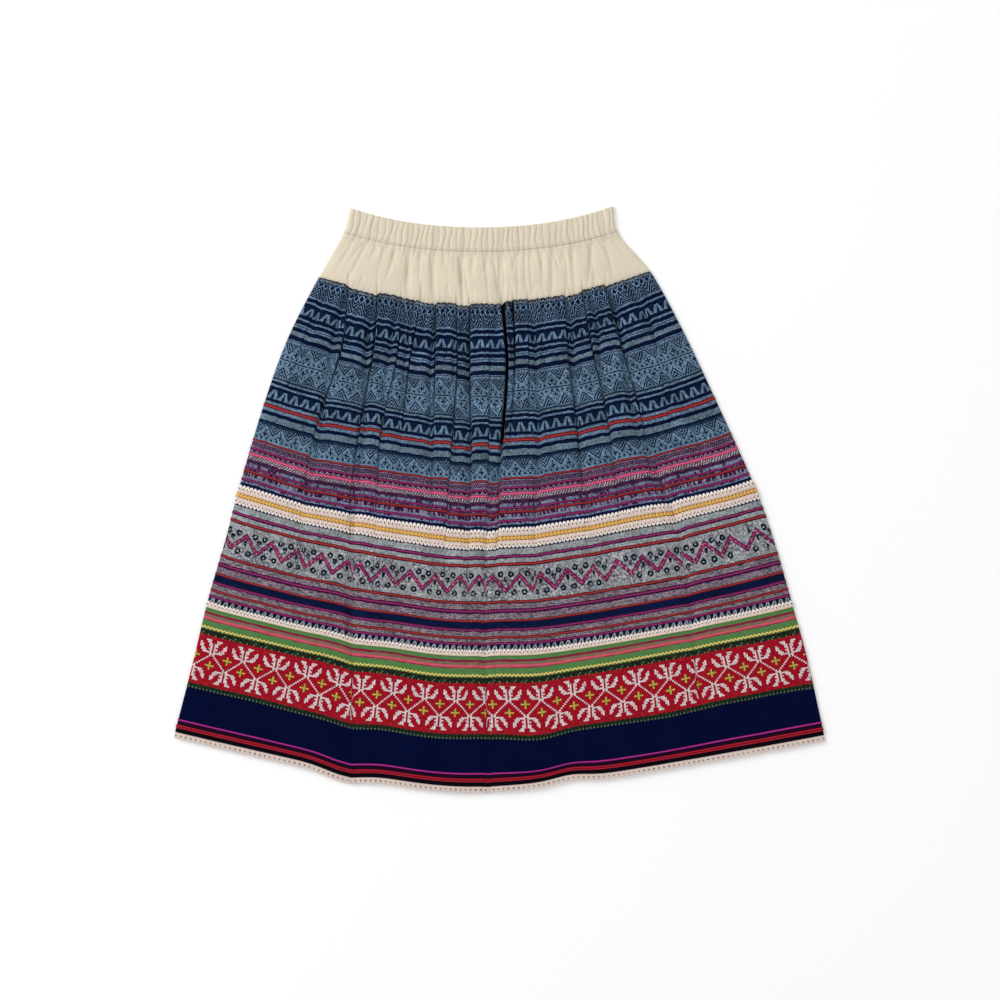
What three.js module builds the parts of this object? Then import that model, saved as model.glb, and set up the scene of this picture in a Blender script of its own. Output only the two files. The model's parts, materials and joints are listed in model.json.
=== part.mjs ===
// A gathered midi skirt with an elastic waist, laid flat on its back, in millimetres.
// X runs across the skirt, Y up towards the waist, Z up off the surface it lies on.
// "down" is always the distance along the cloth from the waist's top edge, and "share" the
// share of a row's width, from the skirt's left edge as seen from above.
import * as THREE from "three";

// Thickness of the cloth walls, and the gaps between pieces.
const FRONT_WALL = 1.4;
const BACK_WALL = 2.1;
const CASING_WALL = 2.4;
const SEAM_GAP = 0.3;
const LAYER_GAP = 0.4;

// Where each tier of the skirt ends, measured down the cloth.
const CASING_END = 28.5;
const YOKE_END = 94.5;
const BATIK_END = 535.2;
const GREEN_END = 561.4;
const STITCHED_END = 636.9;
const HEM_END = 695.3;
const LACE_END = 703.1;

// Elastic gathers in the casing, on the front and again on the back.
const CASING_GATHERS = 46;
const GATHER_RIDGE = 1.8;
const BACK_GATHER_GROOVE = 1.1;

// The rounded side edges, where the front panel turns down to meet the back one at the side seam.
const EDGE_ROLL = 3.2;
const EDGE_STEP = 1.2;
const EDGE_RISE = 20;
const SIDE_SEAM = 2.0;

// The front cloth pressed flat on the back, and how much more a steep fold's valley needs.
const FLAT_HEIGHT = BACK_WALL + LAYER_GAP + FRONT_WALL;
const STEEP_VALLEY_EXTRA = 0.7;

// Folds grow wider down the skirt, and a valley's cloth hangs a little lower than its ridges'.
const FOLD_WIDENING = 1 / 260;
const FOLD_SHARPNESS = 1.25;
const RIDGE_LIFT = 0.22;

// A row bows like a hyperbola: this share of its half-width is the round part in the middle.
const ROUND_MIDDLE = 0.27;

// Rows of the laid skirt: both ends, the lowest point between them, and how sharply the row bows.
const GUIDES = [
  { down: 0, left: [-185.4, 360.8], mid: [-24.2, 336.7], right: [141.4, 363.3], bow: 2.3 },
  { down: 28.5, left: [-193.4, 331.1], mid: [-24.2, 307.5], right: [146.3, 332.3], bow: 2.3 },
  { down: 94.5, left: [-224.4, 275.3], mid: [-19.2, 240.6], right: [187.2, 282.7], bow: 2.2 },
  { down: 178.9, left: [-262.9, 199.6], mid: [-16.7, 156.2], right: [228.2, 208.3], bow: 1.8 },
  { down: 266.4, left: [-292.6, 117.8], mid: [-14.3, 67], right: [267.2, 125.9], bow: 1.4 },
  { down: 387.1, left: [-325.9, 5.6], mid: [-18, -52.5], right: [318.7, 11.2], bow: 1.0 },
  { down: 443, left: [-339.5, -47.1], mid: [-21.7, -107.3], right: [338.5, -44], bow: 1.0 },
  { down: 530.5, left: [-363.3, -129.6], mid: [-24.2, -191.6], right: [363.3, -129.6], bow: 1.0 },
  { down: 600, left: [-379.4, -197.2], mid: [-24.2, -261], right: [382.2, -198.4], bow: 1.0 },
  { down: 703.1, left: [-404.9, -296.4], mid: [-36.6, -364.6], right: [404.9, -300.7], bow: 1.0 },
];

// Where the hem drops or lifts out of its curve: size at the hem, reach to each side, and top.
const HEM_WAVES = [
  { name: "left_corner", share: 0.262, drop: 7.5, reach: 0.04, top: 387.1 },
  { name: "right_lift", share: 0.61, drop: -5, reach: 0.035, top: 530.5 },
];

// Height of the front cloth's ridges: it puffs up under the gathers and settles towards the hem.
const LOFT = [
  { down: 0, ridge: 5.4 },
  { down: 28.5, ridge: 6.4 },
  { down: 60, ridge: 9.5 },
  { down: 94.5, ridge: 10 },
  { down: 118, ridge: 13.5 },
  { down: 200, ridge: 13.5 },
  { down: 266.4, ridge: 12.5 },
  { down: 387.1, ridge: 9.5 },
  { down: 530.5, ridge: 7.6 },
  { down: 703.1, ridge: 6.2 },
];

// Valleys between the yoke's folds: share and depth at each station down the cloth.
const YOKE_STATIONS = [28.5, 61, 94.5];
const YOKE_FOLDS = [
  { name: "left_edge", share: [0.04, 0.036, 0.032], depth: [2.0, 2.2, 0.6], width: 5 },
  { name: "left_slant", share: [0.09, 0.083, 0.077], depth: [2.2, 1.8, 0.6], width: 5 },
  { name: "left_small", share: [0.15, 0.158, 0.166], depth: [1.8, 0.8, 0.3], width: 4 },
  { name: "left_long", share: [0.235, 0.253, 0.27], depth: [2.2, 2.6, 1.4], width: 6 },
  { name: "left_straight", share: [0.329, 0.338, 0.347], depth: [2.4, 2.8, 1.8], width: 5 },
  { name: "centre_deep", share: [0.425, 0.43, 0.435], depth: [2.8, 4.4, 1.6], width: 5 },
  { name: "centre_small", share: [0.52, 0.515, 0.51], depth: [2.2, 1.6, 0.4], width: 4 },
  { name: "centre_long", share: [0.571, 0.557, 0.5435], depth: [2.4, 3.0, 2.4], width: 5 },
  { name: "right_small", share: [0.633, 0.616, 0.6], depth: [2.0, 1.6, 0.6], width: 4 },
  { name: "right_thin", share: [0.68, 0.66, 0.64], depth: [1.8, 1.2, 0.4], width: 4 },
  { name: "right_straight", share: [0.761, 0.73, 0.7], depth: [2.2, 2.6, 1.2], width: 6 },
  { name: "right_long", share: [0.83, 0.8, 0.77], depth: [2.2, 2.4, 1.0], width: 6 },
  { name: "right_slant", share: [0.9, 0.865, 0.83], depth: [2.2, 2.0, 0.8], width: 5 },
  { name: "right_edge", share: [0.95, 0.92, 0.89], depth: [2.4, 2.0, 0.6], width: 5 },
];

// Valleys between the folds of the patterned cloth and the tiers below it, down to the hem.
const BODY_STATIONS = [94.5, 118, 266.4, 387.1, 530.5, 703.1];
const BODY_FOLDS = [
  { name: "left_edge", share: [0.035, 0.04, 0.06, 0.065, 0.07, 0.07], depth: [1, 3.5, 0, 0, 0, 0], width: 6 },
  { name: "left_slant", share: [0.089, 0.095, 0.13, 0.131, 0.14, 0.14], depth: [2.5, 7, 5, 1, 0, 0], width: 7 },
  { name: "left_full", share: [0.176, 0.18, 0.223, 0.224, 0.248, 0.271], depth: [3, 8, 6, 4, 3, 2.2], width: 7 },
  { name: "left_soft", share: [0.245, 0.247, 0.26, 0.268, 0.3, 0.32], depth: [2, 6, 3, 0.4, 0, 0], width: 6 },
  { name: "left_short", share: [0.29, 0.291, 0.302, 0.31, 0.34, 0.36], depth: [2, 5, 1.6, 0, 0, 0], width: 6 },
  { name: "mid_left", share: [0.354, 0.356, 0.371, 0.375, 0.385, 0.395], depth: [3, 7, 3.5, 0.6, 0, 0], width: 6 },
  { name: "mid_small", share: [0.415, 0.416, 0.424, 0.415, 0.42, 0.42], depth: [1.5, 4.5, 2, 0, 0, 0], width: 5 },
  { name: "mid_long", share: [0.456, 0.456, 0.457, 0.444, 0.442, 0.445], depth: [2.5, 7, 5, 2.5, 0.8, 0], width: 6 },
  { name: "centre_tuck", share: [0.563, 0.56, 0.524, 0.48, 0.474, 0.484], depth: [4, 8.9, 8, 5, 3.4, 2.3], width: 5 },
  { name: "right_small", share: [0.643, 0.64, 0.61, 0.572, 0.565, 0.565], depth: [1.5, 4, 5, 2, 0, 0], width: 6 },
  { name: "right_soft", share: [0.747, 0.742, 0.698, 0.68, 0.67, 0.66], depth: [3, 7, 4, 1, 0, 0], width: 7 },
  { name: "right_short", share: [0.818, 0.812, 0.762, 0.745, 0.74, 0.73], depth: [2.5, 6.5, 3, 0.4, 0, 0], width: 6 },
  { name: "right_slant", share: [0.872, 0.868, 0.825, 0.838, 0.825, 0.81], depth: [3, 8, 6.5, 5, 2.4, 0.8], width: 7 },
  { name: "right_edge", share: [0.934, 0.933, 0.93, 0.93, 0.92, 0.92], depth: [1, 4, 1, 0, 0, 0], width: 6 },
];

// Where a ridge's two shoulders stand between two valleys.
const SHOULDERS = [0.25, 0.75];

const YOKE_CLOTH = { folds: YOKE_FOLDS, stations: YOKE_STATIONS };
const BODY_CLOTH = { folds: BODY_FOLDS, stations: BODY_STATIONS };

// The tiers below the casing, with the rows that their bow and folds need.
const TIERS = [
  { name: "yoke", start: CASING_END, end: YOKE_END, rows: [50, 72], cloth: YOKE_CLOTH, colour: 0xd9ccb0 },
  {
    name: "batik",
    start: YOKE_END,
    end: BATIK_END,
    rows: [104, 118, 144, 178, 222, 318, 430, 480],
    cloth: BODY_CLOTH,
    colour: 0x2c4a6e,
  },
  { name: "green", start: BATIK_END, end: GREEN_END, rows: [], cloth: BODY_CLOTH, colour: 0x4d7d43 },
  { name: "stitched", start: GREEN_END, end: STITCHED_END, rows: [600], cloth: BODY_CLOTH, colour: 0xb0182a },
  { name: "hem", start: STITCHED_END, end: HEM_END, rows: [], cloth: BODY_CLOTH, colour: 0x10183c },
  { name: "lace", start: HEM_END, end: LACE_END, rows: [], cloth: BODY_CLOTH, colour: 0xd8cabb },
];

// Trims sewn over the tiers all round. "height" is how thick each stands on the front.
const TRIMS = [
  { name: "red_ribbon", tier: "batik", start: 264.1, end: 268.7, height: 0.8, colour: 0x9e1c28 },
  { name: "cream_braid_upper", tier: "batik", start: 375.4, end: 384.4, height: 1.7, colour: 0xe2cdb9 },
  { name: "gold_braid", tier: "batik", start: 384.4, end: 389.8, height: 1.9, colour: 0xc8913f },
  { name: "cream_braid_lower", tier: "batik", start: 389.8, end: 397.4, height: 1.7, colour: 0xe2cdb9 },
  { name: "picot_braid", tier: "batik", start: 526.3, end: 534.9, height: 1.4, colour: 0xe6d8c0 },
  { name: "ric_rac", tier: "green", start: 556.6, end: 561.0, height: 1.1, colour: 0xd3ad56 },
  { name: "magenta_cord", tier: "hem", start: 678.2, end: 681.0, height: 1.2, colour: 0x8d1d6d },
  { name: "red_cord", tier: "hem", start: 685.6, end: 690.2, height: 1.2, colour: 0x9c1a2c },
];

// Under the skirt the wide trims lie flush: the back panel lifts over them.
const FLUSH_THICKNESS = 0.6;
const FLUSH_RECESS = FLUSH_THICKNESS + SEAM_GAP;
const FLUSH_INSET = EDGE_ROLL + 2;
const FLUSH_TRIMS = ["red_ribbon", "cream_braid_upper", "gold_braid", "cream_braid_lower", "picot_braid"];
const BACK_COLUMNS = 16;

const lerp = THREE.MathUtils.lerp;
const clamp = THREE.MathUtils.clamp;

// The stretch between two stations that holds a value, and how far along it the value is.
function stretch(stations, at) {
  const last = stations.length - 1;
  const held = clamp(at, stations[0], stations[last]);
  let i = 0;
  while (i < last - 1 && held > stations[i + 1]) i += 1;
  return { i, along: (held - stations[i]) / (stations[i + 1] - stations[i]) };
}

function straight(stations, values, at) {
  const { i, along } = stretch(stations, at);
  return lerp(values[i], values[i + 1], along);
}

// A smooth curve through the values, with each station's slope taken from its neighbours.
function smooth(stations, values, at) {
  const { i, along } = stretch(stations, at);
  const last = stations.length - 1;
  const slope = (k) => {
    const before = Math.max(k - 1, 0);
    const after = Math.min(k + 1, last);
    return (values[after] - values[before]) / (stations[after] - stations[before]);
  };
  const span = stations[i + 1] - stations[i];
  const square = along * along;
  const cube = square * along;
  return (
    (2 * cube - 3 * square + 1) * values[i] +
    (cube - 2 * square + along) * span * slope(i) +
    (3 * square - 2 * cube) * values[i + 1] +
    (cube - square) * span * slope(i + 1)
  );
}

const GUIDE_DOWNS = GUIDES.map((guide) => guide.down);
const LOFT_DOWNS = LOFT.map((loft) => loft.down);
const LOFT_RIDGES = LOFT.map((loft) => loft.ridge);

function guided(pick, down) {
  return smooth(GUIDE_DOWNS, GUIDES.map(pick), down);
}

// The row of the laid skirt at one distance down the cloth.
function rowAt(down) {
  const left = [guided((g) => g.left[0], down), guided((g) => g.left[1], down)];
  const mid = [guided((g) => g.mid[0], down), guided((g) => g.mid[1], down)];
  const right = [guided((g) => g.right[0], down), guided((g) => g.right[1], down)];
  return { down, left, mid, right, bow: guided((g) => g.bow, down), width: right[0] - left[0] };
}

// How far a row has risen from its lowest point, at a share of the way to its end.
function bowed(away, bow) {
  const rise = (s) => Math.pow(s * s + ROUND_MIDDLE * ROUND_MIDDLE, bow / 2) - Math.pow(ROUND_MIDDLE, bow);
  return rise(away) / rise(1);
}

// A point of the row in plan.
function planPoint(row, share) {
  const x = lerp(row.left[0], row.right[0], share);
  const end = x < row.mid[0] ? row.left : row.right;
  const away = Math.min(1, Math.abs(x - row.mid[0]) / Math.abs(end[0] - row.mid[0]));
  let y = lerp(row.mid[1], end[1], bowed(away, row.bow));
  for (const wave of HEM_WAVES) {
    const ramp = clamp((row.down - wave.top) / (LACE_END - wave.top), 0, 1);
    y -= wave.drop * ramp * Math.exp(-Math.pow((share - wave.share) / wave.reach, 2));
  }
  return [x, y];
}

// How far the cloth lies below its ridges, summed over the valleys.
function valleyDepth(cloth, row, share) {
  const widening = 1 + Math.max(0, row.down - YOKE_END) * FOLD_WIDENING;
  let depth = 0;
  for (const fold of cloth.folds) {
    const away = Math.abs(share - smooth(cloth.stations, fold.share, row.down)) * row.width;
    const falloff = Math.exp(-Math.pow(away / (fold.width * widening), FOLD_SHARPNESS));
    depth += straight(cloth.stations, fold.depth, row.down) * falloff;
  }
  return depth;
}

// How much of its height a rounded edge has reached, at a distance in from that edge.
function rolled(inward) {
  const left = 1 - Math.min(1, inward / EDGE_ROLL);
  return Math.sqrt(1 - left * left);
}

function inwardOf(row, share) {
  return Math.min(share, 1 - share) * row.width;
}

// A point on the upper face of the front cloth.
function frontPoint(cloth, row, share) {
  const [x, y] = planPoint(row, share);
  const inward = inwardOf(row, share);
  const seam = SIDE_SEAM + SEAM_GAP / 2;
  const edge = seam + (FLAT_HEIGHT - seam) * rolled(inward);
  const ridge = straight(LOFT_DOWNS, LOFT_RIDGES, row.down);
  const puff = 1 - Math.exp(-Math.max(0, inward - EDGE_STEP) / EDGE_RISE);
  const steep = STEEP_VALLEY_EXTRA * (1 - row.down / LACE_END) * puff;
  const depth = valleyDepth(cloth, row, share) * puff;
  const z = Math.max(edge + steep, edge + (ridge - FLAT_HEIGHT) * puff - depth);
  return new THREE.Vector3(x, y - RIDGE_LIFT * depth, z);
}

// Shares where a row's points stand: at the rolled edges, at each mark, and at steps between.
function sharesOf(row, marks, steps) {
  const edge = [0, EDGE_STEP / row.width, EDGE_ROLL / row.width];
  const stops = [edge[2], ...marks, 1 - edge[2]];
  const shares = [edge[0], edge[1]];
  for (let i = 0; i + 1 < stops.length; i += 1) {
    shares.push(stops[i], ...steps.map((step) => lerp(stops[i], stops[i + 1], step)));
  }
  return [...shares, 1 - edge[2], 1 - edge[1], 1];
}

// The direction out of the cloth at each point of a line, long enough to keep a wall's thickness
// where the line bends. At the two rolled edges it turns from straight up to sideways.
function outwardOf(line, row) {
  const normal = (a, b) => new THREE.Vector3(a.z - b.z, 0, b.x - a.x).normalize();
  return line.map((point, i) => {
    const inward = Math.min(point.x - row.left[0], row.right[0] - point.x);
    if (i < 3 || i > line.length - 4) {
      const turn = Math.min(1, inward / EDGE_ROLL) * (Math.PI / 2);
      return new THREE.Vector3((i < 3 ? -1 : 1) * Math.cos(turn), 0, Math.sin(turn));
    }
    const before = normal(line[i - 1], point);
    const after = normal(point, line[i + 1]);
    return before.clone().add(after).divideScalar(1 + before.dot(after));
  });
}

// A line across the front, moved out from the cloth's upper face, or in if the distance is negative.
function frontLine(cloth, down, distance) {
  const row = rowAt(down);
  const marks = cloth.folds.map((fold) => smooth(cloth.stations, fold.share, down));
  const face = sharesOf(row, marks, SHOULDERS).map((share) => frontPoint(cloth, row, share));
  if (distance === 0) return face;
  const outward = outwardOf(face, row);
  const lowest = (point) => Math.min(point.z, BACK_WALL + LAYER_GAP);
  return face.map((point, i) => {
    const moved = point.clone().addScaledVector(outward[i], distance);
    moved.z = Math.max(moved.z, lowest(point));
    return moved;
  });
}

// A closed wall between two grids of points, the upper one seen from above.
function wall(upper, lower) {
  const rows = upper.length;
  const cols = upper[0].length;
  const position = [...upper, ...lower].flatMap((line) => line.flatMap((p) => [p.x, p.y, p.z]));
  const top = (r, c) => r * cols + c;
  const under = (r, c) => rows * cols + top(r, c);
  const index = [];
  const quad = (a, b, c, d) => index.push(a, b, c, a, c, d);
  for (let r = 0; r + 1 < rows; r += 1) {
    for (let c = 0; c + 1 < cols; c += 1) {
      quad(top(r, c), top(r + 1, c), top(r + 1, c + 1), top(r, c + 1));
      quad(under(r, c), under(r, c + 1), under(r + 1, c + 1), under(r + 1, c));
    }
    quad(top(r, 0), under(r, 0), under(r + 1, 0), top(r + 1, 0));
    quad(top(r + 1, cols - 1), under(r + 1, cols - 1), under(r, cols - 1), top(r, cols - 1));
  }
  for (let c = 0; c + 1 < cols; c += 1) {
    quad(top(0, c + 1), under(0, c + 1), under(0, c), top(0, c));
    quad(top(rows - 1, c), under(rows - 1, c), under(rows - 1, c + 1), top(rows - 1, c + 1));
  }
  const geometry = new THREE.BufferGeometry();
  geometry.setAttribute("position", new THREE.BufferAttribute(new Float32Array(position), 3));
  geometry.setIndex(index);
  return geometry;
}

function clothMesh(name, geometry, colour) {
  const mesh = new THREE.Mesh(geometry, new THREE.MeshStandardMaterial({ color: colour, roughness: 0.9 }));
  mesh.name = name;
  return mesh;
}

const trimsOn = (tier) => TRIMS.filter((trim) => trim.tier === tier.name);

function frontPanel(tier) {
  const seams = [tier.start + SEAM_GAP / 2, tier.end - SEAM_GAP / 2];
  const edges = trimsOn(tier).flatMap((trim) => [trim.start, trim.end]);
  const downs = [...new Set([...seams, ...tier.rows, ...edges])].sort((a, b) => a - b);
  const upper = downs.map((down) => frontLine(tier.cloth, down, 0));
  const lower = downs.map((down) => frontLine(tier.cloth, down, -FRONT_WALL));
  return clothMesh(tier.name + "_front", wall(upper, lower), tier.colour);
}

// A trim on the front is a strip made from its panel's points, moved out.
function frontTrim(trim) {
  const cloth = TIERS.find((tier) => tier.name === trim.tier).cloth;
  const downs = [trim.start + SEAM_GAP / 2, trim.end - SEAM_GAP / 2];
  const upper = downs.map((down) => frontLine(cloth, down, SEAM_GAP + trim.height));
  const lower = downs.map((down) => frontLine(cloth, down, SEAM_GAP));
  return clothMesh(trim.name + "_front", wall(upper, lower), trim.colour);
}

// A line across the back, its height given by the distance in from the edge.
function backLine(down, heightAt, tuck = 0) {
  const row = rowAt(down);
  const marks = Array.from({ length: BACK_COLUMNS - 1 }, (_, i) => (i + 1) / BACK_COLUMNS);
  return sharesOf(row, marks, []).map((share) => {
    const [x, y] = planPoint(row, share);
    const inward = inwardOf(row, share);
    const tucked = tuck * (1 - Math.min(1, inward / EDGE_ROLL)) * (share < 0.5 ? 1 : -1);
    return new THREE.Vector3(x + tucked, y, heightAt(inward));
  });
}

// The rows of a back panel, each with how far its underside lifts off the surface over flush trims.
function backRows(tier) {
  const start = tier.start + SEAM_GAP / 2;
  const end = tier.end - SEAM_GAP / 2;
  const flush = trimsOn(tier).filter((trim) => FLUSH_TRIMS.includes(trim.name));
  const covered = (down) => flush.some((t) => down > t.start - 1.5 * SEAM_GAP && down < t.end + 1.5 * SEAM_GAP);
  const edges = flush.flatMap((trim) => [
    trim.start - 2 * SEAM_GAP,
    trim.start - SEAM_GAP,
    trim.end + SEAM_GAP,
    trim.end + 2 * SEAM_GAP,
  ]);
  const inner = flush.flatMap((trim) => [trim.start, trim.end]);
  const joined = (down) => inner.filter((edge) => Math.abs(edge - down) < 3 * SEAM_GAP).length > 1;
  const downs = [start, ...tier.rows, ...edges.filter((down) => down < end && !joined(down)), end];
  return downs.sort((a, b) => a - b).map((down) => ({ down, lift: covered(down) ? FLUSH_RECESS : 0 }));
}

// The back panel lies flat, turns up at its side edges, and lifts over the flush trims.
function backPanel(tier) {
  const seam = SIDE_SEAM - SEAM_GAP / 2;
  const topside = (inward) => lerp(seam, BACK_WALL, Math.min(1, inward / EDGE_ROLL));
  const underside = (lift) => (inward) => Math.max(seam * (1 - rolled(inward)), lift * rolled(inward));
  const rows = backRows(tier);
  const upper = rows.map((row) => backLine(row.down, topside, FRONT_WALL));
  const lower = rows.map((row) => backLine(row.down, underside(row.lift)));
  return clothMesh(tier.name + "_back", wall(upper, lower), tier.colour);
}

function flushTrim(trim) {
  const downs = [trim.start + SEAM_GAP / 2, trim.end - SEAM_GAP / 2];
  const strip = (z) =>
    downs.map((down) => {
      const row = rowAt(down);
      const inset = FLUSH_INSET / row.width;
      return Array.from({ length: BACK_COLUMNS + 1 }, (_, i) => {
        const [x, y] = planPoint(row, lerp(inset, 1 - inset, i / BACK_COLUMNS));
        return new THREE.Vector3(x, y, z);
      });
    });
  return clothMesh(trim.name + "_back", wall(strip(FLUSH_THICKNESS), strip(0)), trim.colour);
}

// Places across the casing: a sharp valley, then the two shoulders of its gather, a little uneven.
function gatherPlaces(row) {
  const edge = EDGE_ROLL / row.width;
  const places = [{ share: 0, rise: 0 }, { share: EDGE_STEP / row.width, rise: 0 }];
  for (let i = 0; i < CASING_GATHERS; i += 1) {
    const sway = 0.16 * Math.sin(2.4 * i);
    const steps = [{ at: 0, rise: 0 }, { at: 0.3 + sway / 2, rise: 1 }, { at: 0.75 + sway / 2, rise: 1 - sway }];
    for (const { at, rise } of steps) {
      places.push({ share: lerp(edge, 1 - edge, (i + at) / CASING_GATHERS), rise: Math.min(1, rise) });
    }
  }
  const ending = [EDGE_ROLL, EDGE_STEP, 0].map((inward) => ({ share: 1 - inward / row.width, rise: 0 }));
  return [...places, ...ending];
}

function casingLine(down, heightAt, tuck = 0) {
  const row = rowAt(down);
  return gatherPlaces(row).map(({ share, rise }) => {
    const [x, y] = planPoint(row, share);
    const inward = inwardOf(row, share);
    const tucked = tuck * (1 - Math.min(1, inward / EDGE_ROLL)) * (share < 0.5 ? 1 : -1);
    return new THREE.Vector3(x + tucked, y, heightAt(inward, rise));
  });
}

// The elastic casing: gathers raised over a plain inside on the front, grooves between flat
// ridges under the back.
function casings() {
  const ends = [0, CASING_END - SEAM_GAP / 2];
  const inside = CASING_WALL + LAYER_GAP;
  const parting = CASING_WALL + LAYER_GAP / 2;
  const above = parting + SEAM_GAP / 2;
  const below = parting - SEAM_GAP / 2;
  const slope = (from, to, inward) => lerp(from, to, Math.min(1, inward / EDGE_ROLL));
  const frontFace = (inward, rise) => lerp(above, inside + CASING_WALL, rolled(inward)) + GATHER_RIDGE * rise;
  const frontInside = (inward) => slope(above, inside, inward);
  const backInside = (inward) => slope(below, CASING_WALL, inward);
  const backFace = (inward, rise) =>
    Math.max(below * (1 - rolled(inward)), BACK_GATHER_GROOVE * (1 - rise) * rolled(inward));
  const lines = (heightAt, tuck) => ends.map((down) => casingLine(down, heightAt, tuck));
  return [
    clothMesh("casing_front", wall(lines(frontFace, 0), lines(frontInside, CASING_WALL)), 0xd9ccb0),
    clothMesh("casing_back", wall(lines(backInside, CASING_WALL), lines(backFace, 0)), 0xd9ccb0),
  ];
}

// The whole skirt, moved so that the origin is under the middle of its bounding box.
const skirt = new THREE.Group();
skirt.add(...casings());
for (const tier of TIERS) skirt.add(frontPanel(tier), backPanel(tier));
for (const trim of TRIMS) skirt.add(frontTrim(trim));
for (const trim of TRIMS.filter((t) => FLUSH_TRIMS.includes(t.name))) skirt.add(flushTrim(trim));

const bounds = new THREE.Box3().setFromObject(skirt);
skirt.position.set(-(bounds.min.x + bounds.max.x) / 2, -(bounds.min.y + bounds.max.y) / 2, -bounds.min.z);

export default skirt;
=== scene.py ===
"""A gathered midi skirt with an elastic waist, laid flat on its back and seen from above."""

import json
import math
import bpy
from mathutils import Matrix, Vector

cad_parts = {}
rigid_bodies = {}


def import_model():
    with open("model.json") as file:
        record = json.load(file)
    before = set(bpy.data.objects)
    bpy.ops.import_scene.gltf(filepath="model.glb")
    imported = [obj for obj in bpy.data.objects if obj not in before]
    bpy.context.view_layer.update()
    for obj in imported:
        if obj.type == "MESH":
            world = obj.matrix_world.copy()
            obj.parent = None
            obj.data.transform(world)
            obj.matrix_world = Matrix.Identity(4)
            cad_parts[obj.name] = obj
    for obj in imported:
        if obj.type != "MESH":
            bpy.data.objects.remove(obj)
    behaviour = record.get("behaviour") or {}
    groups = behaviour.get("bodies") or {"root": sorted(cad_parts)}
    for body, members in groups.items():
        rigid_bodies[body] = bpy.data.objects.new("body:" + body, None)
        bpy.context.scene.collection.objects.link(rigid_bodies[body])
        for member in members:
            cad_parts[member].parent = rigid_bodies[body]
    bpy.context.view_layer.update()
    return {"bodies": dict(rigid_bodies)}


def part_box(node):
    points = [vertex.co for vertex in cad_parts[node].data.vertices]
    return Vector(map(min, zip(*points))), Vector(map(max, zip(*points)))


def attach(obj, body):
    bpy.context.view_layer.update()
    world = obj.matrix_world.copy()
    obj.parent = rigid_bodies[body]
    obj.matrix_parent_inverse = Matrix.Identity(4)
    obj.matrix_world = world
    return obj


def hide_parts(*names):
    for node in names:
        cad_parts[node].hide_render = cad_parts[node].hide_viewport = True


bl_info = {
    "name": "Gathered Midi Skirt",
    "version": (1, 0, 0),
    "blender": (4, 5, 0),
    "location": "View3D > Sidebar > Skirt",
    "description": "Makes the cloth, trims and stitching of a gathered midi skirt",
    "category": "Object",
}

import bpy
import numpy as np
from bpy.props import FloatProperty, FloatVectorProperty, IntProperty, PointerProperty

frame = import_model()
BODY = next(iter(frame["bodies"]))
MM = 0.001

# Distances down the cloth from the waist's top edge, in millimetres, where each tier ends.
CASING_END = 28.5
YOKE_END = 94.5
BATIK_END = 535.2
GREEN_END = 561.4
STITCHED_END = 636.9
HEM_END = 695.3
LACE_END = 703.1

# The lace's scallops across a panel, and where its row of holes lies.
LACE_REPEATS = 132
LACE_HOLES = 699.4

# The cut width of one panel, before it was gathered: the body's tiers, and the yoke with its casing.
BODY_CUT = 840.0
YOKE_CUT = 470.0
# How much of the cloth that a row has to spare lies in its folds, and not all along it.
FOLDED_SHARE = 0.7

# Walls of the back, front and casing, and the gaps that they leave between layers and at a seam.
BACK_WALL = 2.1
LAYER_GAP = 0.4
FRONT_WALL = 1.4
CASING_WALL = 2.4
SEAM_GAP = 0.3
FLAT_HEIGHT = BACK_WALL + LAYER_GAP + FRONT_WALL
CASING_BASE = CASING_WALL + LAYER_GAP
CASING_SIDE = CASING_WALL + (LAYER_GAP + SEAM_GAP) / 2

# Where the casing is stitched to the yoke, and how thick its shell is for its two layers, in metres.
CASING_SEAM = 25.6
CASING_SHELL = 0.0018

# Side edges: the seam's height, how far in the cloth rolls over, and from where the front rises how fast.
SIDE_SEAM = 2.0
EDGE_ROLL = 3.2
EDGE_STEP = 1.2
EDGE_RISE = 20.0

# Folds: how fast they widen below the yoke, how sharp and how large their soft flank is, how narrow the
# crease in it is, and how far the cloth drops in a fold for each millimetre of its depth.
FOLD_WIDENING = 1 / 260
FOLD_SHARPNESS = 1.25
SOFT_SHARE = 0.42
CREASE_SHARE = 0.45
RIDGE_LIFT = 0.22

# How round a row is at its lowest point, beside half its width.
ROUND_MIDDLE = 0.27

# How much a front seam pulls the cloth down beside it: depth and reach on the yoke and on the body.
YOKE_SEAM_DIP = (1.2, 5)
BODY_SEAM_DIP = (0.8, 4)
# The yoke's top edge lies under the casing: how far below it, at most how high, and over what length.
TUCKED_UNDER = 0.35
TUCKED_HEIGHT = 7.4
TUCKED_LENGTH = 9
# The back lies on the surface, so its folds and creases are only this share of the front's.
BACK_YOKE_FOLDS = 0.12
BACK_YOKE_CREASES = 0.25
BACK_BODY_FOLDS = 0.09
BACK_BODY_CREASES = 0.2
BACK_DEPTH = 0.9

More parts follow.
